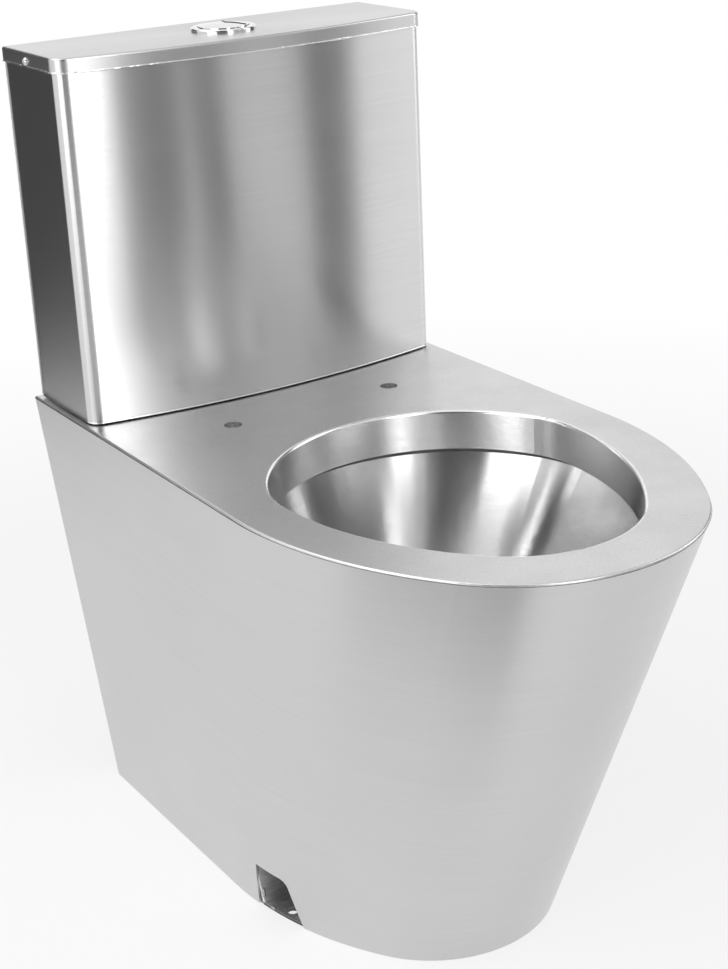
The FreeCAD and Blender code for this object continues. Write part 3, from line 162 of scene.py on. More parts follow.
def mixed(tree, first, second, share):
    """The first value times its share, plus the second times what is left of 1."""
    return calculate(tree, "ADD", calculate(tree, "MULTIPLY", first, share),
                     calculate(tree, "MULTIPLY", second, 1 - share))


def brushed_steel(name, level, roughness, anisotropy, grain=LEVEL_STROKES, contrast=0.02, depth=0.02 * MM,
                  wave=0.0):
    """Satin steel whose grain runs round an upright axis and smears reflections across itself.

    A wave is how far a thin sheet bulges in and out between its folds.
    """
    material = new_material(name)
    tree = material.node_tree
    shader = tree.nodes["Principled BSDF"]
    lines = stretched_noise(tree, grain)
    cloud = stretched_noise(tree, (CLOUD, CLOUD, CLOUD), detail=4.0)
    tone = mixed(tree, lines, cloud, 0.6)
    dark = grey(level * (1 - contrast))
    light = grey(level * (1 + contrast))
    colour = two_tone(tree, remap(tree, tone, 0.0, 1.0), dark, light)
    tree.links.new(colour, shader.inputs["Base Color"])
    tree.links.new(remap(tree, tone, roughness + 0.02, roughness - 0.02), shader.inputs["Roughness"])
    set_inputs(shader, Metallic=1.0, Anisotropic=anisotropy, Anisotropic_Rotation=0.25)
    tangent = add_node(tree, "ShaderNodeTangent", direction_type="RADIAL", axis="Z")
    tree.links.new(tangent.outputs["Tangent"], shader.inputs["Tangent"])
    bulge = None
    if wave:
        bulge = relief(tree, shader, stretched_noise(tree, WAVES, detail=0.0), 1.0, wave)
    relief(tree, shader, lines, LINE_RELIEF, depth, bulge)
    return material


# Cells per metre of each layer of sanding arcs, and how close its rings lie
SWIRLS = ((90.0, 46.0), (61.0, 60.0), (133.0, 38.0))


def swirled_steel(name, level, roughness):
    """Steel with the small overlapping arcs of a random-orbit sander."""
    material = new_material(name)
    tree = material.node_tree
    shader = tree.nodes["Principled BSDF"]
    place = add_node(tree, "ShaderNodeTexCoord")
    arcs = None
    for cells, rings in SWIRLS:
        voronoi = add_node(tree, "ShaderNodeTexVoronoi", feature="F1")
        set_inputs(voronoi, Scale=cells, Randomness=1.0)
        tree.links.new(place.outputs["Object"], voronoi.inputs["Vector"])
        wave = calculate(tree, "SINE", calculate(tree, "MULTIPLY", voronoi.outputs["Distance"], rings), 0.0)
        arcs = wave if arcs is None else calculate(tree, "ADD", arcs, wave)
    speckle = stretched_noise(tree, (700.0, 700.0, 700.0), detail=2.0)
    cloud = stretched_noise(tree, (14.0, 14.0, 14.0), detail=5.0, roughness=0.6)
    height = mixed(tree, remap(tree, arcs, 0.0, 1.0, -2.0, 2.0), speckle, 0.5)
    tone = mixed(tree, height, cloud, 0.5)
    colour = two_tone(tree, remap(tree, tone, 0.0, 1.0), grey(level * 0.9), grey(level * 1.08))
    tree.links.new(colour, shader.inputs["Base Color"])
    tree.links.new(remap(tree, cloud, roughness + 0.06, roughness - 0.06), shader.inputs["Roughness"])
    set_inputs(shader, Metallic=1.0)
    relief(tree, shader, height, 0.6, 0.03 * MM)
    return material


def polished_metal(name, level, roughness, warmth=0.0, grain=(30.0, 30.0, 160.0)):
    """Bright metal with faint polishing marks."""
    material = new_material(name)
    tree = material.node_tree
    shader = tree.nodes["Principled BSDF"]
    marks = stretched_noise(tree, grain, detail=4.0)
    dark = grey(level * 0.96, warmth)
    light = grey(level * 1.03, warmth)
    colour = two_tone(tree, remap(tree, marks, 0.0, 1.0), dark, light)
    tree.links.new(colour, shader.inputs["Base Color"])
    tree.links.new(remap(tree, marks, roughness * 1.3, roughness * 0.7), shader.inputs["Roughness"])
    set_inputs(shader, Metallic=1.0)
    relief(tree, shader, marks, 0.06, 0.05 * MM)
    return material


def moulded_plastic(name, colour, roughness):
    """Moulded plastic or rubber with a fine skin and slight colour drift."""
    material = new_material(name)
    tree = material.node_tree
    shader = tree.nodes["Principled BSDF"]
    skin = stretched_noise(tree, (900.0, 900.0, 900.0), detail=2.0)
    drift = stretched_noise(tree, (40.0, 40.0, 40.0), detail=3.0)
    dark = [value * 0.92 for value in colour]
    light = [min(value * 1.06, 1.0) for value in colour]
    tree.links.new(two_tone(tree, remap(tree, drift, 0.0, 1.0), dark, light), shader.inputs["Base Color"])
    tree.links.new(remap(tree, skin, roughness + 0.06, roughness - 0.06), shader.inputs["Roughness"])
    relief(tree, shader, skin, 0.2, 0.04 * MM)
    return material


MATERIALS = {
    "skirt_steel": brushed_steel("skirt_steel", 0.62, 0.34, 0.6, contrast=0.022),
    "deck_steel": swirled_steel("deck_steel", 0.66, 0.33),
    "rim_steel": brushed_steel("rim_steel", 0.86, 0.235, 0.7, SHORT_STROKES, 0.06, 0.05 * MM),
    "bowl_steel": brushed_steel("bowl_steel", 0.68, 0.21, 0.85, SHORT_STROKES, 0.06, 0.08 * MM),
    "sheet_steel": brushed_steel("sheet_steel", 0.52, 0.38, 0.2, grain=(60.0, 60.0, 90.0)),
    "cistern_steel": brushed_steel("cistern_steel", 0.66, 0.25, 0.92, contrast=0.03, wave=0.8 * MM),
    "lid_steel": brushed_steel("lid_steel", 0.61, 0.30, 0.5, grain=(LONG_GRAIN, FINE_GRAIN, FINE_GRAIN)),
    "fastener_steel": polished_metal("fastener_steel", 0.62, 0.22),
    "spring_steel": polished_metal("spring_steel", 0.50, 0.25),
    "wing_brass": polished_metal("wing_brass", 0.55, 0.28, warmth=0.35),
    "button_chrome": polished_metal("button_chrome", 0.80, 0.07),
    "valve_plastic": moulded_plastic("valve_plastic", (0.80, 0.81, 0.82), 0.42),
    "float_plastic": moulded_plastic("float_plastic", (0.10, 0.21, 0.42), 0.40),
    "seal_rubber": moulded_plastic("seal_rubber", (0.028, 0.028, 0.03), 0.62),
}


# Finishes of single places: dull rough steel painted nearly black as shade, for the rim channel's shadowed
# collar and the deck's seam, and burnt along a weld
SHADE_PAINTED_STEEL = brushed_steel("shade_painted_steel", 0.16, 0.5, 0.0, grain=(80.0, 80.0, 80.0), contrast=0.2)
WELD_STEEL = polished_metal("weld_steel", 0.42, 0.34, warmth=0.03, grain=(300.0, 300.0, 300.0))


# Heights between which the brackets' painted shade along their floor edge gives way to the plain sheet
EDGE_SHADE_TOP, EDGE_SHADE_END = 2.6 * MM, 3.0 * MM


def bracket_steel():
    """Streaked sheet, painted dark as shade along the edge that stands on the floor."""
    material = new_material("bracket_steel")
    tree = material.node_tree
    shader = tree.nodes["Principled BSDF"]
    place = add_node(tree, "ShaderNodeTexCoord")
    axes = add_node(tree, "ShaderNodeSeparateXYZ")
    tree.links.new(place.outputs["Object"], axes.inputs["Vector"])
    # Painted shade: dark below the first height, full tone above the second
    unshaded = remap(tree, axes.outputs["Z"], 0.0, 1.0, EDGE_SHADE_TOP, EDGE_SHADE_END)
    streaks = stretched_noise(tree, (60.0, 160.0, 260.0), detail=4.0)
    tone = calculate(tree, "MULTIPLY", unshaded, remap(tree, streaks, 0.45, 1.0))
    tree.links.new(two_tone(tree, tone, grey(0.1), grey(0.92)), shader.inputs["Base Color"])
    tree.links.new(remap(tree, streaks, 0.55, 0.4), shader.inputs["Roughness"])
    set_inputs(shader, Metallic=1.0)
    relief(tree, shader, streaks, 0.2, 0.1 * MM)
    return material


# The bowl's collar shows only through the rim channel's gap, and takes steel painted dark as the channel's
# shade
OWN_FINISH = {"bowl_collar": SHADE_PAINTED_STEEL, "foot_brackets": bracket_steel(),
              "seat_bushes": polished_metal("bush_steel", 0.85, 0.3)}


def dress_frame():
    """Give every CAD node its slot's material, or its own where it has one."""
    for part in frame["record"]["subparts"]:
        mesh = nodes[part["node"]].data
        mesh.materials.clear()
        mesh.materials.append(OWN_FINISH.get(part["node"], MATERIALS[part["material_slot"]]))


dress_frame()


# Small pieces: welds, the deck's seam and the button's rib (both dark as painted shade), hems, coil springs,
# threads, recessed screws

UP = Vector((0.0, 0.0, 1.0))


def piece(name, mesh_data, slot, material=None, body=ROOT):
    """A smooth mesh that rides on a body and takes a slot's finish."""
    item = link_mesh(name, *mesh_data)
    form = bmesh.new()
    form.from_mesh(item.data)
    bmesh.ops.recalc_face_normals(form, faces=form.faces)
    form.to_mesh(item.data)
    form.free()
    for face in item.data.polygons:
        face.use_smooth = True
    item.data.materials.append(material or MATERIALS[slot])
    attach(item, body)
    return item


def sweep(places, radius, sides=8, closed=True, up=UP):
    """Points and faces of a tube along a line of places, whose radius may change from place to place."""
    points = []
    faces = []
    count = len(places)
    for index, place in enumerate(places):
        ahead = places[(index + 1) % count] if closed or index + 1 < count else place
        behind = places[index - 1] if closed or index else place
        along = (ahead - behind).normalized()
        aside = along.cross(up).normalized()
        over = aside.cross(along)
        size = radius(index)
        for step in range(sides):
            angle = 2 * math.pi * step / sides
            points.append(place + (aside * math.cos(angle) + over * math.sin(angle)) * size)
    for index in range(count if closed else count - 1):
        this = index * sides
        following = (index + 1) % count * sides
        for step in range(sides):
            beside = (step + 1) % sides
            faces.append((this + step, this + beside, following + beside, following + step))
    if not closed:
        faces.append(range(sides))
        faces.append(range((count - 1) * sides, count * sides))
    return points, faces


def resample(places, gap, closed=True):
    """Even steps of about the given length along a line of places."""
    line = places + places[:1] if closed else places
    lengths = [(after - before).length for before, after in zip(line, line[1:])]
    count = max(int(sum(lengths) / gap), 3)
    step = sum(lengths) / count
    result = []
    travelled = 0.0
    index = 0
    for number in range(count if closed else count + 1):
        wanted = number * step
        while index < len(lengths) - 1 and travelled + lengths[index] < wanted:
            travelled += lengths[index]
            index += 1
        share = min((wanted - travelled) / lengths[index], 1.0)
        result.append(line[index].lerp(line[index + 1], share))
    return result


RIPPLE_STEPS, RIPPLE_DEPTH = 4, 0.22


def weld(name, places, size, closed=True, up=UP):
    """A weld bead of overlapping scales along a line of places."""
    places = resample(places, size * 0.45, closed)

    def bead(index):
        scale = 1.0 - RIPPLE_DEPTH * (index % RIPPLE_STEPS) / RIPPLE_STEPS
        return size * scale * (1.0 + 0.15 * noise.noise(places[index] * 400.0))

    piece(name, sweep(places, bead, 8, closed, up), "sheet_steel", WELD_STEEL)


def circle(centre, axis, radius, steps=90):
    """Places round a circle about an axis in the YZ plane."""
    aside = Vector((1.0, 0.0, 0.0))
    over = axis.cross(aside)
    turns = [2 * math.pi * step / steps for step in range(steps)]
    return [centre + (aside * math.cos(turn) + over * math.sin(turn)) * radius for turn in turns]


def quarter(half, depth, nose, steps=24):
    """From the side point to the end point of a curve of two arcs that meet smoothly, as places in XY."""
    side = (half * half + (depth - nose) ** 2 - nose * nose) / (2 * (half - nose))
    reach = nose / (side - nose)
    join_x = reach * (side - half)
    join_y = (depth - nose) * (1 + reach)
    turn = math.atan2(join_y, join_x - half + side)
    places = []
    for step in range(steps):
        angle = turn * step / steps
        places.append((half - side + side * math.cos(angle), side * math.sin(angle)))
    for step in range(steps + 1):
        angle = turn + (math.pi / 2 - turn) * step / steps
        places.append((nose * math.cos(angle), depth - nose + nose * math.sin(angle)))
    return places


def front_curve(half, depth, nose, start, height):
    """Left to right round the front of an outline, in metres from sizes in millimetres."""
    right = [Vector((x, start - y, height)) * MM for x, y in quarter(half, depth, nose)]
    left = [Vector((-place.x, place.y, place.z)) for place in right]
    return left + right[-2::-1]


def egg(grow, scale, centre, height):
    """The bowl's outline, grown and scaled."""
    half, front, nose, rear, rear_nose = [(size + grow) * scale for size in OPENING]
    front_half = front_curve(half, front, nose, centre, height)
    rear_half = [Vector((place.x, 2 * centre * MM - place.y, place.z))
                 for place in front_curve(half, rear, rear_nose, centre, height)]
    return front_half + rear_half[-2:0:-1]


def smooth_step(value):
    value = min(max(value, 0.0), 1.0)
    return value * value * (3 - 2 * value)


# Millimetres, as in the CAD
DECK_HALF, DECK_FRONT, DECK_NOSE, DECK_HEIGHT, DECK_SHEET = 176.0, 243.0, 142.0, 396.0, 2.0
STRAIGHT_END, PAN_BACK = -57.0, 300.0
# Half width, front depth and nose radius, rear depth and nose radius of the bowl's opening
OPENING = (134.0, 195.5, 94.5, 116.5, 139.0)
OPENING_HALF = OPENING[0]
collar_low, collar_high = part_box("bowl_collar")
COLLAR, COLLAR_FOOT = collar_high[0] / MM - OPENING_HALF, collar_low[2] / MM
SUMP_CENTRE, SUMP_HALF, SUMP_TOP = -30.0, 62.0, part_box("bowl_sump")[1][2] / MM
TRAP_RADIUS, TRAP_BEAD, MOUTH_BEAD, BOWL_BEAD, TACK_BEAD, TANK_BEAD = 41.5, 2.0, 2.2, 1.6, 1.5, 0.9
# Place along Y and height of each trap weld, and the slope of the pipe there in degrees
TRAP_WELDS = {"low": (39.1, 76.0, 0.0), "riser": (99.7, 111.0, 60.0), "crest": (134.4, 171.0, 60.0),
              "outlet": (202.0, 206.0, 0.0)}
TANK_HALF, TANK_BACK, TANK_FOOT, LID_TOP, LID_RIM = 171.5, 291.5, 398.0, 698.0, 12.0
BOW_RADIUS, BOW_CENTRE, CORNER_RADIUS, CORNER_X, CORNER_Y = 833.0, 1007.5, 12.0, 159.5, 202.1
CORNER_STEPS, BOW_STEPS = 16, 24
LID_OUTSIDE = 1.5


def deck_seam_shade():
    """The ground joint between the deck's edge and the skirt's top, drawn as a thin strip painted dark as the
    shade in the joint.
    """
    height = DECK_HEIGHT - DECK_SHEET
    sides = [Vector((-DECK_HALF, PAN_BACK, height)) * MM, Vector((DECK_HALF, PAN_BACK, height)) * MM]
    line = sides[:1] + front_curve(DECK_HALF, DECK_FRONT, DECK_NOSE, STRAIGHT_END, height) + sides[1:]
    places = resample(line, 3 * MM, False)

    # Half width of the strip of painted shade: wider along the straight sides than round the front
    def groove(index):
        seam_shade_width = 0.22 + 0.26 * smooth_step((places[index].y - STRAIGHT_END * MM) / (60.0 * MM) + 1.0)
        return seam_shade_width * MM * (1.0 + 0.2 * noise.noise(places[index] * 150.0))

    piece("deck_seam_shade", sweep(places, groove, 6, False), "sheet_steel", SHADE_PAINTED_STEEL)


def bowl_welds():
    """Beads round the trap's joints, the collar's foot, the sump's top and the trap's mouth in the sump."""
    for label, (along, height, slope) in TRAP_WELDS.items():
        lean = math.radians(slope)
        axis = Vector((0.0, math.cos(lean), math.sin(lean)))
        ring = circle(Vector((0.0, along, height)) * MM, axis, TRAP_RADIUS * MM)
        weld("trap_weld_" + label, ring, TRAP_BEAD * MM, up=axis)
    weld("collar_weld", egg(COLLAR, 1.0, STRAIGHT_END, COLLAR_FOOT), BOWL_BEAD * MM)
    sump_scale = SUMP_HALF / (OPENING_HALF + COLLAR)
    weld("sump_weld", egg(COLLAR, sump_scale, SUMP_CENTRE, SUMP_TOP), BOWL_BEAD * MM)
    sump = nodes["bowl_sump"].data
    corners = [corner.co for corner in sump.vertices]
    wall = BVHTree.FromPolygons(corners, [face.vertices for face in sump.polygons])
    along, height, _ = TRAP_WELDS["low"]
    back = Vector((0.0, 1.0, 0.0))
    mouth = circle(Vector((0.0, along, height)) * MM, back, (TRAP_RADIUS + 0.3) * MM)
    weld("trap_mouth_weld", [wall.ray_cast(place, -back)[0] for place in mouth], MOUTH_BEAD * MM, up=back)


# Ends of the short beads that hold a foot bracket: one on its upright and one on its floor plate
BRACKET_TACKS = {
    "upright": ((131.4, 24.6, 10.5), (131.8, 24.6, 17.5)),
    "plate": ((128.6, 12.0, 3.2), (129.2, 17.0, 3.2)),
}
ASIDE = Vector((1.0, 0.0, 0.0))


def bracket_tacks():
    for label, side in SIDES:
        for joint, ends in BRACKET_TACKS.items():
            line = [Vector((side * x, y, z)) * MM for x, y, z in ends]
            weld("bracket_tack_%s_%s" % (joint, label), line, TACK_BEAD * MM, False, ASIDE)


def tank_welds():
    """Beads down the back corners of the cistern."""
    for label, side in SIDES:
        heights = (TANK_FOOT + 1, LID_TOP - LID_RIM - 1)
        line = [Vector((side * TANK_HALF, TANK_BACK, height)) * MM for height in heights]
        weld("tank_weld_" + label, line, TANK_BEAD * MM, False, ASIDE)


def tank_outline(grow, height):
    """The cistern's outline from above, grown all round."""
    front = BOW_RADIUS + grow
    corner = CORNER_RADIUS + grow
    half = TANK_HALF + grow
    back = TANK_BACK + grow
    lean = math.asin(CORNER_X / (BOW_RADIUS - CORNER_RADIUS))
    right = [(half, back)]
    for step in range(CORNER_STEPS + 1):
        turn = lean + (math.pi / 2 - lean) * (1 - step / CORNER_STEPS)
        right.append((CORNER_X + corner * math.sin(turn), CORNER_Y - corner * math.cos(turn)))
    for step in range(1, BOW_STEPS + 1):
        turn = lean * (1 - step / BOW_STEPS)
        right.append((front * math.sin(turn), BOW_CENTRE - front * math.cos(turn)))
    line = right + [(-x, y) for x, y in right[-2::-1]]
    return [Vector((x, y, height)) * MM for x, y in line]


def hem(name, places, size, roughness, slot):
    """A sheet's lower edge, turned under and more or less roughly dressed."""
    places = resample(places, 1.2 * MM)

    def edge(index):
        coarse = noise.noise(places[index] * 90.0)
        fine = noise.noise(places[index] * 330.0)
        return size * MM * (1.0 + roughness * (0.5 * coarse + 0.8 * fine))

    piece(name, sweep(places, edge, 8), slot, MATERIALS["rim_steel"])


def hems():
    hem("lid_hem", tank_outline(LID_OUTSIDE, LID_TOP - LID_RIM + 0.5), 0.72, 0.6, "lid_steel")
    hem("tank_hem", tank_outline(-0.4, TANK_FOOT - 0.2), 0.7, 0.1, "cistern_steel")


def helix(x, y, radius, foot, top, pitch, steps=24):
    """Places along a helix about an upright axis."""
    turns = (top - foot) / pitch
    count = int(turns * steps)
    places = []
    for step in range(count + 1):
        angle = 2 * math.pi * step / steps
        height = foot + pitch * step / steps
        places.append(Vector((x + radius * math.cos(angle), y + radius * math.sin(angle), height)))
    return places


FITTINGS_Y, INLET_X, BOLT_X = 233.0, 110.0, 72.0
INLET_RADIUS, INLET_PITCH, INLET_BARE_END, INLET_THREAD_TOP = 10.1, 1.8, 1.5, 33.0
BOLT_RADIUS, BOLT_PITCH, BOLT_BARE_END, BOLT_IN_NUT = 3.9, 1.25, 0.8, 1.0
RUN_OUT, RIDGE_SHARE = 12, 0.42


def thread(name, x, radius, foot, top, pitch, slot):
    """A screw thread's ridge, which runs out at both ends."""
    places = helix(x * MM, FITTINGS_Y * MM, radius * MM, foot, top, pitch * MM)

    def ridge(index):
        return RIDGE_SHARE * pitch * MM * min(1.0, (index + 1) / RUN_OUT, (len(places) - index) / RUN_OUT)

    piece(name, sweep(places, ridge, 4, False), slot)


def threads():
    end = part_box("fill_valve_body")[0][2]
    thread("inlet_thread", INLET_X, INLET_RADIUS, end + INLET_BARE_END * MM, end + INLET_THREAD_TOP * MM,
           INLET_PITCH, "valve_plastic")
    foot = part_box("tank_bolts")[0][2] + BOLT_BARE_END * MM
    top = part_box("wing_nuts")[0][2] + BOLT_IN_NUT * MM
    for label, side in SIDES:
        name = "tank_bolt_thread_" + label
        thread(name, side * BOLT_X, BOLT_RADIUS, foot, top, BOLT_PITCH, "fastener_steel")


SPRING_WIRE, SPRING_TURNS, SPRING_STEPS = 0.4 * MM, 6, 48


def return_springs():
    """Coil springs in place of the CAD's rigid ones."""
    for label in ("full", "half"):
        low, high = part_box(label + "_flush_spring")
        x = (low[0] + high[0]) / 2
        y = (low[1] + high[1]) / 2
        radius = (high[0] - low[0]) / 2 - SPRING_WIRE
        foot = low[2] + SPRING_WIRE
        top = high[2] - SPRING_WIRE
        line = helix(x, y, radius, foot, top, (top - foot) / SPRING_TURNS, SPRING_STEPS)
        wire = sweep(line, lambda index: SPRING_WIRE, 10, False)
        coil = piece(label + "_coil_spring", wire, "spring_steel")
        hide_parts(label + "_flush_spring")
        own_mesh(coil)


BUTTON_RADIUS, BUTTON_DOME = 21.3, 2.0
# The split's corner and gap in millimetres, its turn and half opening in degrees
SPLIT_VERTEX, SPLIT_GAP, SPLIT_TURN, SPLIT_HALF = 3.0, 0.7, 10.0, 60.0
RIB, RIB_SHORT, RIB_STEP = 0.55, 2.5, 0.5


def button_shade_rib():
    """A black rib on the full-flush button, along its edge beside the half-flush one, standing in as painted
    shade for the shadow in the split.
    """
    turn = math.radians(SPLIT_TURN)
    half = math.radians(SPLIT_HALF)
    tip = SPLIT_VERTEX - (SPLIT_GAP / 2 + RIB) / math.sin(half)
    corner = Vector((tip * math.cos(turn), tip * math.sin(turn), 0.0))
    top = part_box("full_flush_button")[1][2] / MM
    dome = (BUTTON_RADIUS ** 2 + BUTTON_DOME ** 2) / (2 * BUTTON_DOME)
    ends = []
    for direction in (turn - half, turn + half):
        along = Vector((math.cos(direction), math.sin(direction), 0.0))
        ends.append(corner + along * (BUTTON_RADIUS - RIB_SHORT))
    places = []
    for place in resample([ends[0], corner, ends[1]], RIB_STEP, False):
        sunk = dome - math.sqrt(dome * dome - place.length_squared)
        places.append(Vector((place.x, place.y + FITTINGS_Y, top - sunk)) * MM)
    piece("button_shade_rib", sweep(places, lambda index: RIB * MM, 8, False), "seal_rubber", body="full_button")


SCREW_Y, SCREW_Z = 247.0, 690.5
SCREW_HEAD, SCREW_RISE, SCREW_SHANK, SCREW_LENGTH = 3.5, 2.4, 2.0, 11.0
RECESS_REACH, RECESS_HALF, RECESS_DEPTH, RECESS_EDGE, RECESS_LOWEST = 2.0, 0.42, 1.2, 0.22, 0.2
SECTORS, HEAD_RINGS, SHANK_STEPS, STEPS_PER_TURN, PLAIN_STEPS, GROOVE = 96, 36, 44, 4, 3, 0.18


def screw_profile():
    """Reach and rise of a screw's outline, from the top of its head to its end."""
    dome = (SCREW_HEAD ** 2 + SCREW_RISE ** 2) / (2 * SCREW_RISE)
    profile = []
    for number in range(HEAD_RINGS):
        reach = SCREW_HEAD * number / (HEAD_RINGS - 1)
        profile.append((reach, math.sqrt(dome * dome - reach * reach) - dome + SCREW_RISE))
    profile.append((SCREW_SHANK, 0.0))
    for number in range(SHANK_STEPS + 1):
        groove = 0.0
        if PLAIN_STEPS < number < SHANK_STEPS:
            groove = GROOVE * (1 - math.cos(2 * math.pi * number / STEPS_PER_TURN))
        profile.append((SCREW_SHANK - groove, -SCREW_LENGTH * number / SHANK_STEPS))
    profile.append((0.0, -SCREW_LENGTH))
    return profile


def recess(u, v, reach):
    """How deep the cross is sunk at a place on the head."""
    wall = smooth_step((RECESS_HALF - min(abs(u), abs(v))) / RECESS_EDGE + 0.5)
    return RECESS_DEPTH * wall * smooth_step((RECESS_REACH - reach) / RECESS_EDGE + 0.5)


def lid_screws():
    """Round-head screws with a cross recess, in place of the CAD's plain ones."""
    profile = screw_profile()
    points = []
    faces = []
    for _, side in SIDES:
        start = len(points)
        for reach, rise in profile:
            for sector in range(SECTORS):
                turn = 2 * math.pi * sector / SECTORS
                u = reach * math.cos(turn)
                v = reach * math.sin(turn)
                sunk = recess(u, v, reach) if rise > RECESS_LOWEST else 0.0
                out = TANK_HALF + LID_OUTSIDE + rise - sunk
                points.append(Vector((side * out, SCREW_Y + u, SCREW_Z + v)) * MM)
        for ring in range(len(profile) - 1):
            for sector in range(SECTORS):
                beside = (sector + 1) % SECTORS
                this = start + ring * SECTORS
                after = this + SECTORS
                faces.append((this + sector, this + beside, after + beside, after + sector))
    screws_piece = piece("lid_cross_screws", (points, faces), "fastener_steel")
    form = bmesh.new()
    form.from_mesh(screws_piece.data)
    bmesh.ops.remove_doubles(form, verts=form.verts, dist=0.001 * MM)
    form.to_mesh(screws_piece.data)
    form.free()
    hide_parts("lid_screws")


deck_seam_shade()
bowl_welds()
bracket_tacks()
tank_welds()
hems()
return_springs()
button_shade_rib()
threads()
lid_screws()


# Camera

CAMERA_PLACE = Vector((-0.7461, -1.1437, 0.9060))
CAMERA_AZIMUTH = math.radians(-32.11)
CAMERA_HEIGHT = math.radians(21.72)
CAMERA_ROLL = math.radians(-2.62)
SENSOR_WIDTH, LENS = 36.0, 68.05


def make_camera():
    data = bpy.data.cameras.new("camera")
    data.sensor_width = SENSOR_WIDTH
    data.lens = LENS
    camera = bpy.data.objects.new("camera", data)
    scene.collection.objects.link(camera)
    level = math.cos(CAMERA_HEIGHT)
    turn_x = math.cos(CAMERA_AZIMUTH)
    turn_y = math.sin(CAMERA_AZIMUTH)
    back = Vector((turn_y * level, -turn_x * level, math.sin(CAMERA_HEIGHT)))
    flat = Vector((turn_x, turn_y, 0.0))
    tall = back.cross(flat)
    right = flat * math.cos(CAMERA_ROLL) + tall * math.sin(CAMERA_ROLL)
    up = back.cross(right)
    turn = Matrix((right, up, back)).transposed().to_4x4()
    camera.matrix_world = Matrix.Translation(CAMERA_PLACE) @ turn
    scene.camera = camera


make_camera()


# Studio: pale floor, white surroundings, screens that give the metal something to mirror, soft lamps

# How bright the surroundings are as light, and as a background that is seen
WORLD_LIGHT, WORLD_SEEN = 0.5, 1.0


def seen_rays(tree):
    """1 for rays that see the background: those of the camera, and mirrored and refracted ones."""
    path = add_node(tree, "ShaderNodeLightPath")
    mirrored = calculate(tree, "MAXIMUM", path.outputs["Is Glossy Ray"], path.outputs["Is Transmission Ray"])
    return calculate(tree, "MAXIMUM", path.outputs["Is Camera Ray"], mirrored)


def make_world():
    world = bpy.data.worlds.new("studio")
    world.use_nodes = True
    scene.world = world
    tree = world.node_tree
    background = tree.nodes["Background"]
    background.inputs["Color"].default_value = (1.0, 1.0, 1.0, 1.0)
    strength = remap(tree, seen_rays(tree), WORLD_LIGHT, WORLD_SEEN, 0.0, 1.0)
    tree.links.new(strength, background.inputs["Strength"])


FLOOR_RADIUS, FLOOR_SIDES = 3.0, 96
FLOOR_LEVEL, INSIDE_LEVEL, HOLE_LEVEL = -0.5, -0.3, -0.2
FLOOR_PALE = {"Base_Color": (0.9, 0.9, 0.9, 1.0), "Roughness": 0.9}
# Share of white in the floor near the object, and the distances between which it grows to all
FLOOR_NEAR_WHITE, FLOOR_FADE_START, FLOOR_FADE_END = 0.72, 0.9, 1.7
BASE_HALF, BASE_FRONT, BASE_NOSE, BASE_STRAIGHT_END = 133.0, 206.0, 102.0, 67.0
FOOT_HOLE_X, FOOT_HOLE_Y, GLOW_SPOT_RADIUS = 118.0, 1.0, 8.0
# The floor inside the pan's foot, which has no white mixed in and keeps its shade, but for the spots under
# the brackets' holes, which glow white as painted light
INSIDE_OUTLINE = front_curve(BASE_HALF, BASE_FRONT, BASE_NOSE, BASE_STRAIGHT_END, INSIDE_LEVEL)
INSIDE_OUTLINE += [Vector((end * BASE_HALF, PAN_BACK - 2, INSIDE_LEVEL)) * MM for end in (1, -1)]


def make_floor():
    """A round pale floor that keeps the shadow near the object and fades to white further out."""
    turns = [2 * math.pi * step / FLOOR_SIDES for step in range(FLOOR_SIDES)]
    rim = [(FLOOR_RADIUS * math.cos(turn), FLOOR_RADIUS * math.sin(turn), FLOOR_LEVEL * MM) for turn in turns]
    floor = link_mesh("floor", rim, [range(FLOOR_SIDES)])
    material = new_material("floor_white")
    tree = material.node_tree
    shader = tree.nodes["Principled BSDF"]
    set_inputs(shader, **FLOOR_PALE)
    place = add_node(tree, "ShaderNodeTexCoord")
    distance = add_node(tree, "ShaderNodeVectorMath", operation="LENGTH")
    tree.links.new(place.outputs["Object"], distance.inputs[0])
    white = remap(tree, distance.outputs["Value"], FLOOR_NEAR_WHITE, 1.0, FLOOR_FADE_START, FLOOR_FADE_END)
    glow = add_node(tree, "ShaderNodeEmission")
    mix = add_node(tree, "ShaderNodeMixShader")
    tree.links.new(calculate(tree, "MULTIPLY", white, seen_rays(tree)), mix.inputs["Fac"])
    tree.links.new(shader.outputs["BSDF"], mix.inputs[1])
    tree.links.new(glow.outputs["Emission"], mix.inputs[2])
    tree.links.new(mix.outputs["Shader"], tree.nodes["Material Output"].inputs["Surface"])
    floor.data.materials.append(material)
    # Spots of the glowing floor under the brackets' holes: painted light where the pan shades the floor
    for label, side in SIDES:
        hole = circle(Vector((side * FOOT_HOLE_X, FOOT_HOLE_Y, HOLE_LEVEL)) * MM, UP, GLOW_SPOT_RADIUS * MM)
        glow_spot = link_mesh("floor_glow_spot_" + label, hole, [range(len(hole))])
        glow_spot.data.materials.append(material)
    inside = link_mesh("floor_inside", INSIDE_OUTLINE, [range(len(INSIDE_OUTLINE))])
    plain = new_material("floor_plain")
    set_inputs(plain.node_tree.nodes["Principled BSDF"], **FLOOR_PALE)
    inside.data.materials.append(plain)


SCREEN_CENTRE = Vector((0.0, 0.18, 0.0))
# Height of the screens that lie on the floor
LOW = 0.5 * MM
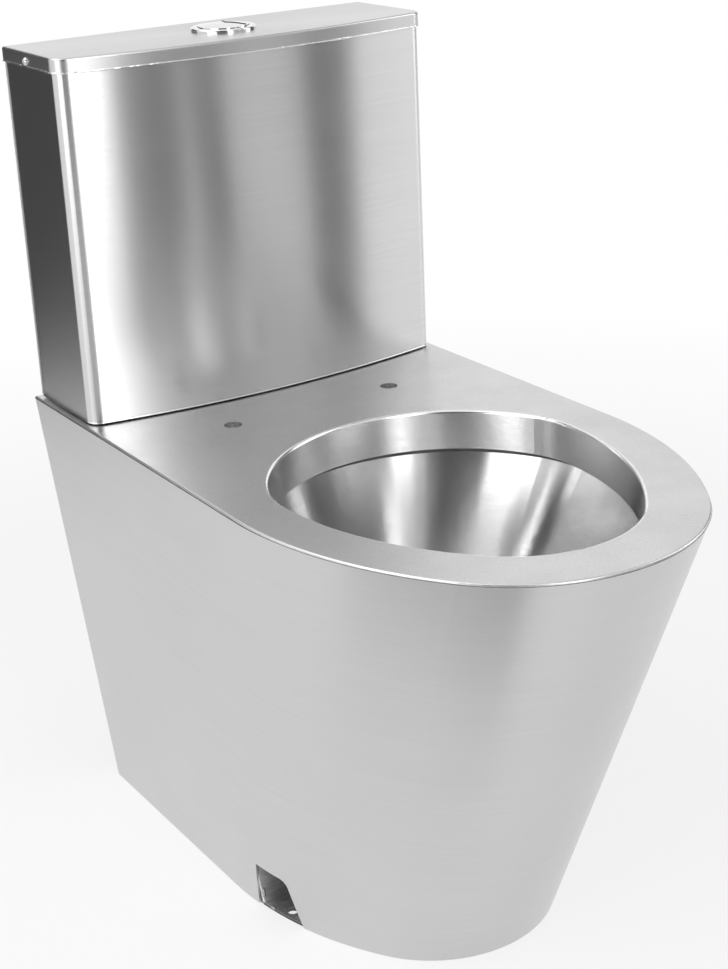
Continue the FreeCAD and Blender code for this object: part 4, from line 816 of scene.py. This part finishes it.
# Screens round the object: first and last bearing (degrees from the front towards the right), distance and
# height of the lower edge, or the near one on the floor, the same of the upper or far edge, and the shade
SCREENS = [
    ((4.4, 14.8, 2.1, 0.0), (0.5, 13.9, 2.1, 1.0), "soft"),
    ((17.2, 22.5, 2.1, 0.0), (14.0, 22.5, 2.1, 1.0), "soft"),
    ((22.5, 37.5, 2.1, 0.0), (22.5, 37.5, 2.1, 1.0), "pale"),
    ((37.5, 47.0, 2.1, 0.0), (37.5, 47.0, 2.1, 1.0), "soft"),
    ((13.0, 58.0, 2.15, 1.0), (13.0, 58.0, 2.15, 3.0), "light"),
    ((4.2, 20.0, 1.15, LOW), (4.6, 14.8, 2.1, LOW), "dark"),
    ((23.7, 25.5, 1.15, LOW), (17.2, 22.5, 2.1, LOW), "dark"),
    ((25.5, 37.5, 1.15, LOW), (22.5, 37.5, 2.1, LOW), "pale"),
    ((37.5, 47.0, 1.15, LOW), (37.5, 47.0, 2.1, LOW), "dark"),
    ((82.0, 106.0, 2.1, 0.5), (82.0, 106.0, 2.1, 2.6), "dim"),
    ((68.0, 112.0, 2.1, 2.6), (68.0, 112.0, 0.8, 3.3), "dim"),
    ((-75.0, -52.0, 1.9, 1.35), (-75.0, -52.0, 1.9, 3.4), "dim"),
    ((-52.0, -17.0, 1.9, 0.3), (-52.0, -17.0, 1.9, 3.4), "dim"),
    ((-178.0, -136.0, 1.3, 0.0), (-178.0, -136.0, 1.3, 1.3), "dim"),
    ((-75.0, -15.0, 0.62, LOW), (-75.0, -15.0, 1.5, LOW), "mid"),
]
SHADES = {"dark": 0.03, "dim": 0.07, "soft": 0.11, "mid": 0.38, "pale": 0.82, "light": 0.85}


def round_about(bearing, distance, height):
    """A place at a bearing and distance from the screens' centre."""
    angle = math.radians(bearing)
    return SCREEN_CENTRE + Vector((distance * math.sin(angle), -distance * math.cos(angle), height))


def strip(name, edges):
    """A strip of quads between two rows of points, given as pairs."""
    points = [point for pair in edges for point in pair]
    faces = [(2 * step, 2 * step + 2, 2 * step + 3, 2 * step + 1) for step in range(len(edges) - 1)]
    return link_mesh(name, points, faces)


def spread(start, end, steps=12):
    """Bearings from start to end in even steps."""
    return [start + (end - start) * step / steps for step in range(steps + 1)]


def make_screens():
    """Make the screens, which only mirrored rays see."""
    shades = {}
    for shade, level in SHADES.items():
        shades[shade] = new_material("screen_" + shade)
        set_inputs(shades[shade].node_tree.nodes["Principled BSDF"], Base_Color=(level, level, level, 1.0),
                   Roughness=0.9)
    for number, (lower, upper, shade) in enumerate(SCREENS):
        edges = [(round_about(low_turn, *lower[2:]), round_about(high_turn, *upper[2:]))
                 for low_turn, high_turn in zip(spread(*lower[:2]), spread(*upper[:2]))]
        screen = strip("screen_%d" % number, edges)
        screen.data.materials.append(shades[shade])
        screen.visible_camera = False
        screen.visible_diffuse = False
        screen.visible_shadow = False


# Place, width and height in metres, and power in watts of each soft lamp
LAMPS = {
    "front": ((-0.12, -1.95, 1.25), 0.6, 2.3, 11.0),
    "left": ((-1.96, -0.51, 0.85), 1.27, 0.9, 7.2),
    "right": ((1.97, -0.54, 1.5), 0.73, 2.15, 8.2),
    "high_left": ((-1.75, 0.2, 2.9), 3.2, 1.7, 34.0),
}
LAMP_AIM = Vector((0.0, 0.0, 0.4))


def make_lamps():
    for name, (place, width, height, power) in LAMPS.items():
        data = bpy.data.lights.new(name, "AREA")
        data.shape = "RECTANGLE"
        data.size = width
        data.size_y = height
        data.energy = power
        lamp = bpy.data.objects.new(name, data)
        lamp.location = place
        lamp.rotation_euler = (LAMP_AIM - Vector(place)).to_track_quat("-Z", "Y").to_euler()
        lamp.visible_camera = False
        scene.collection.objects.link(lamp)


make_world()
make_floor()
make_screens()
make_lamps()
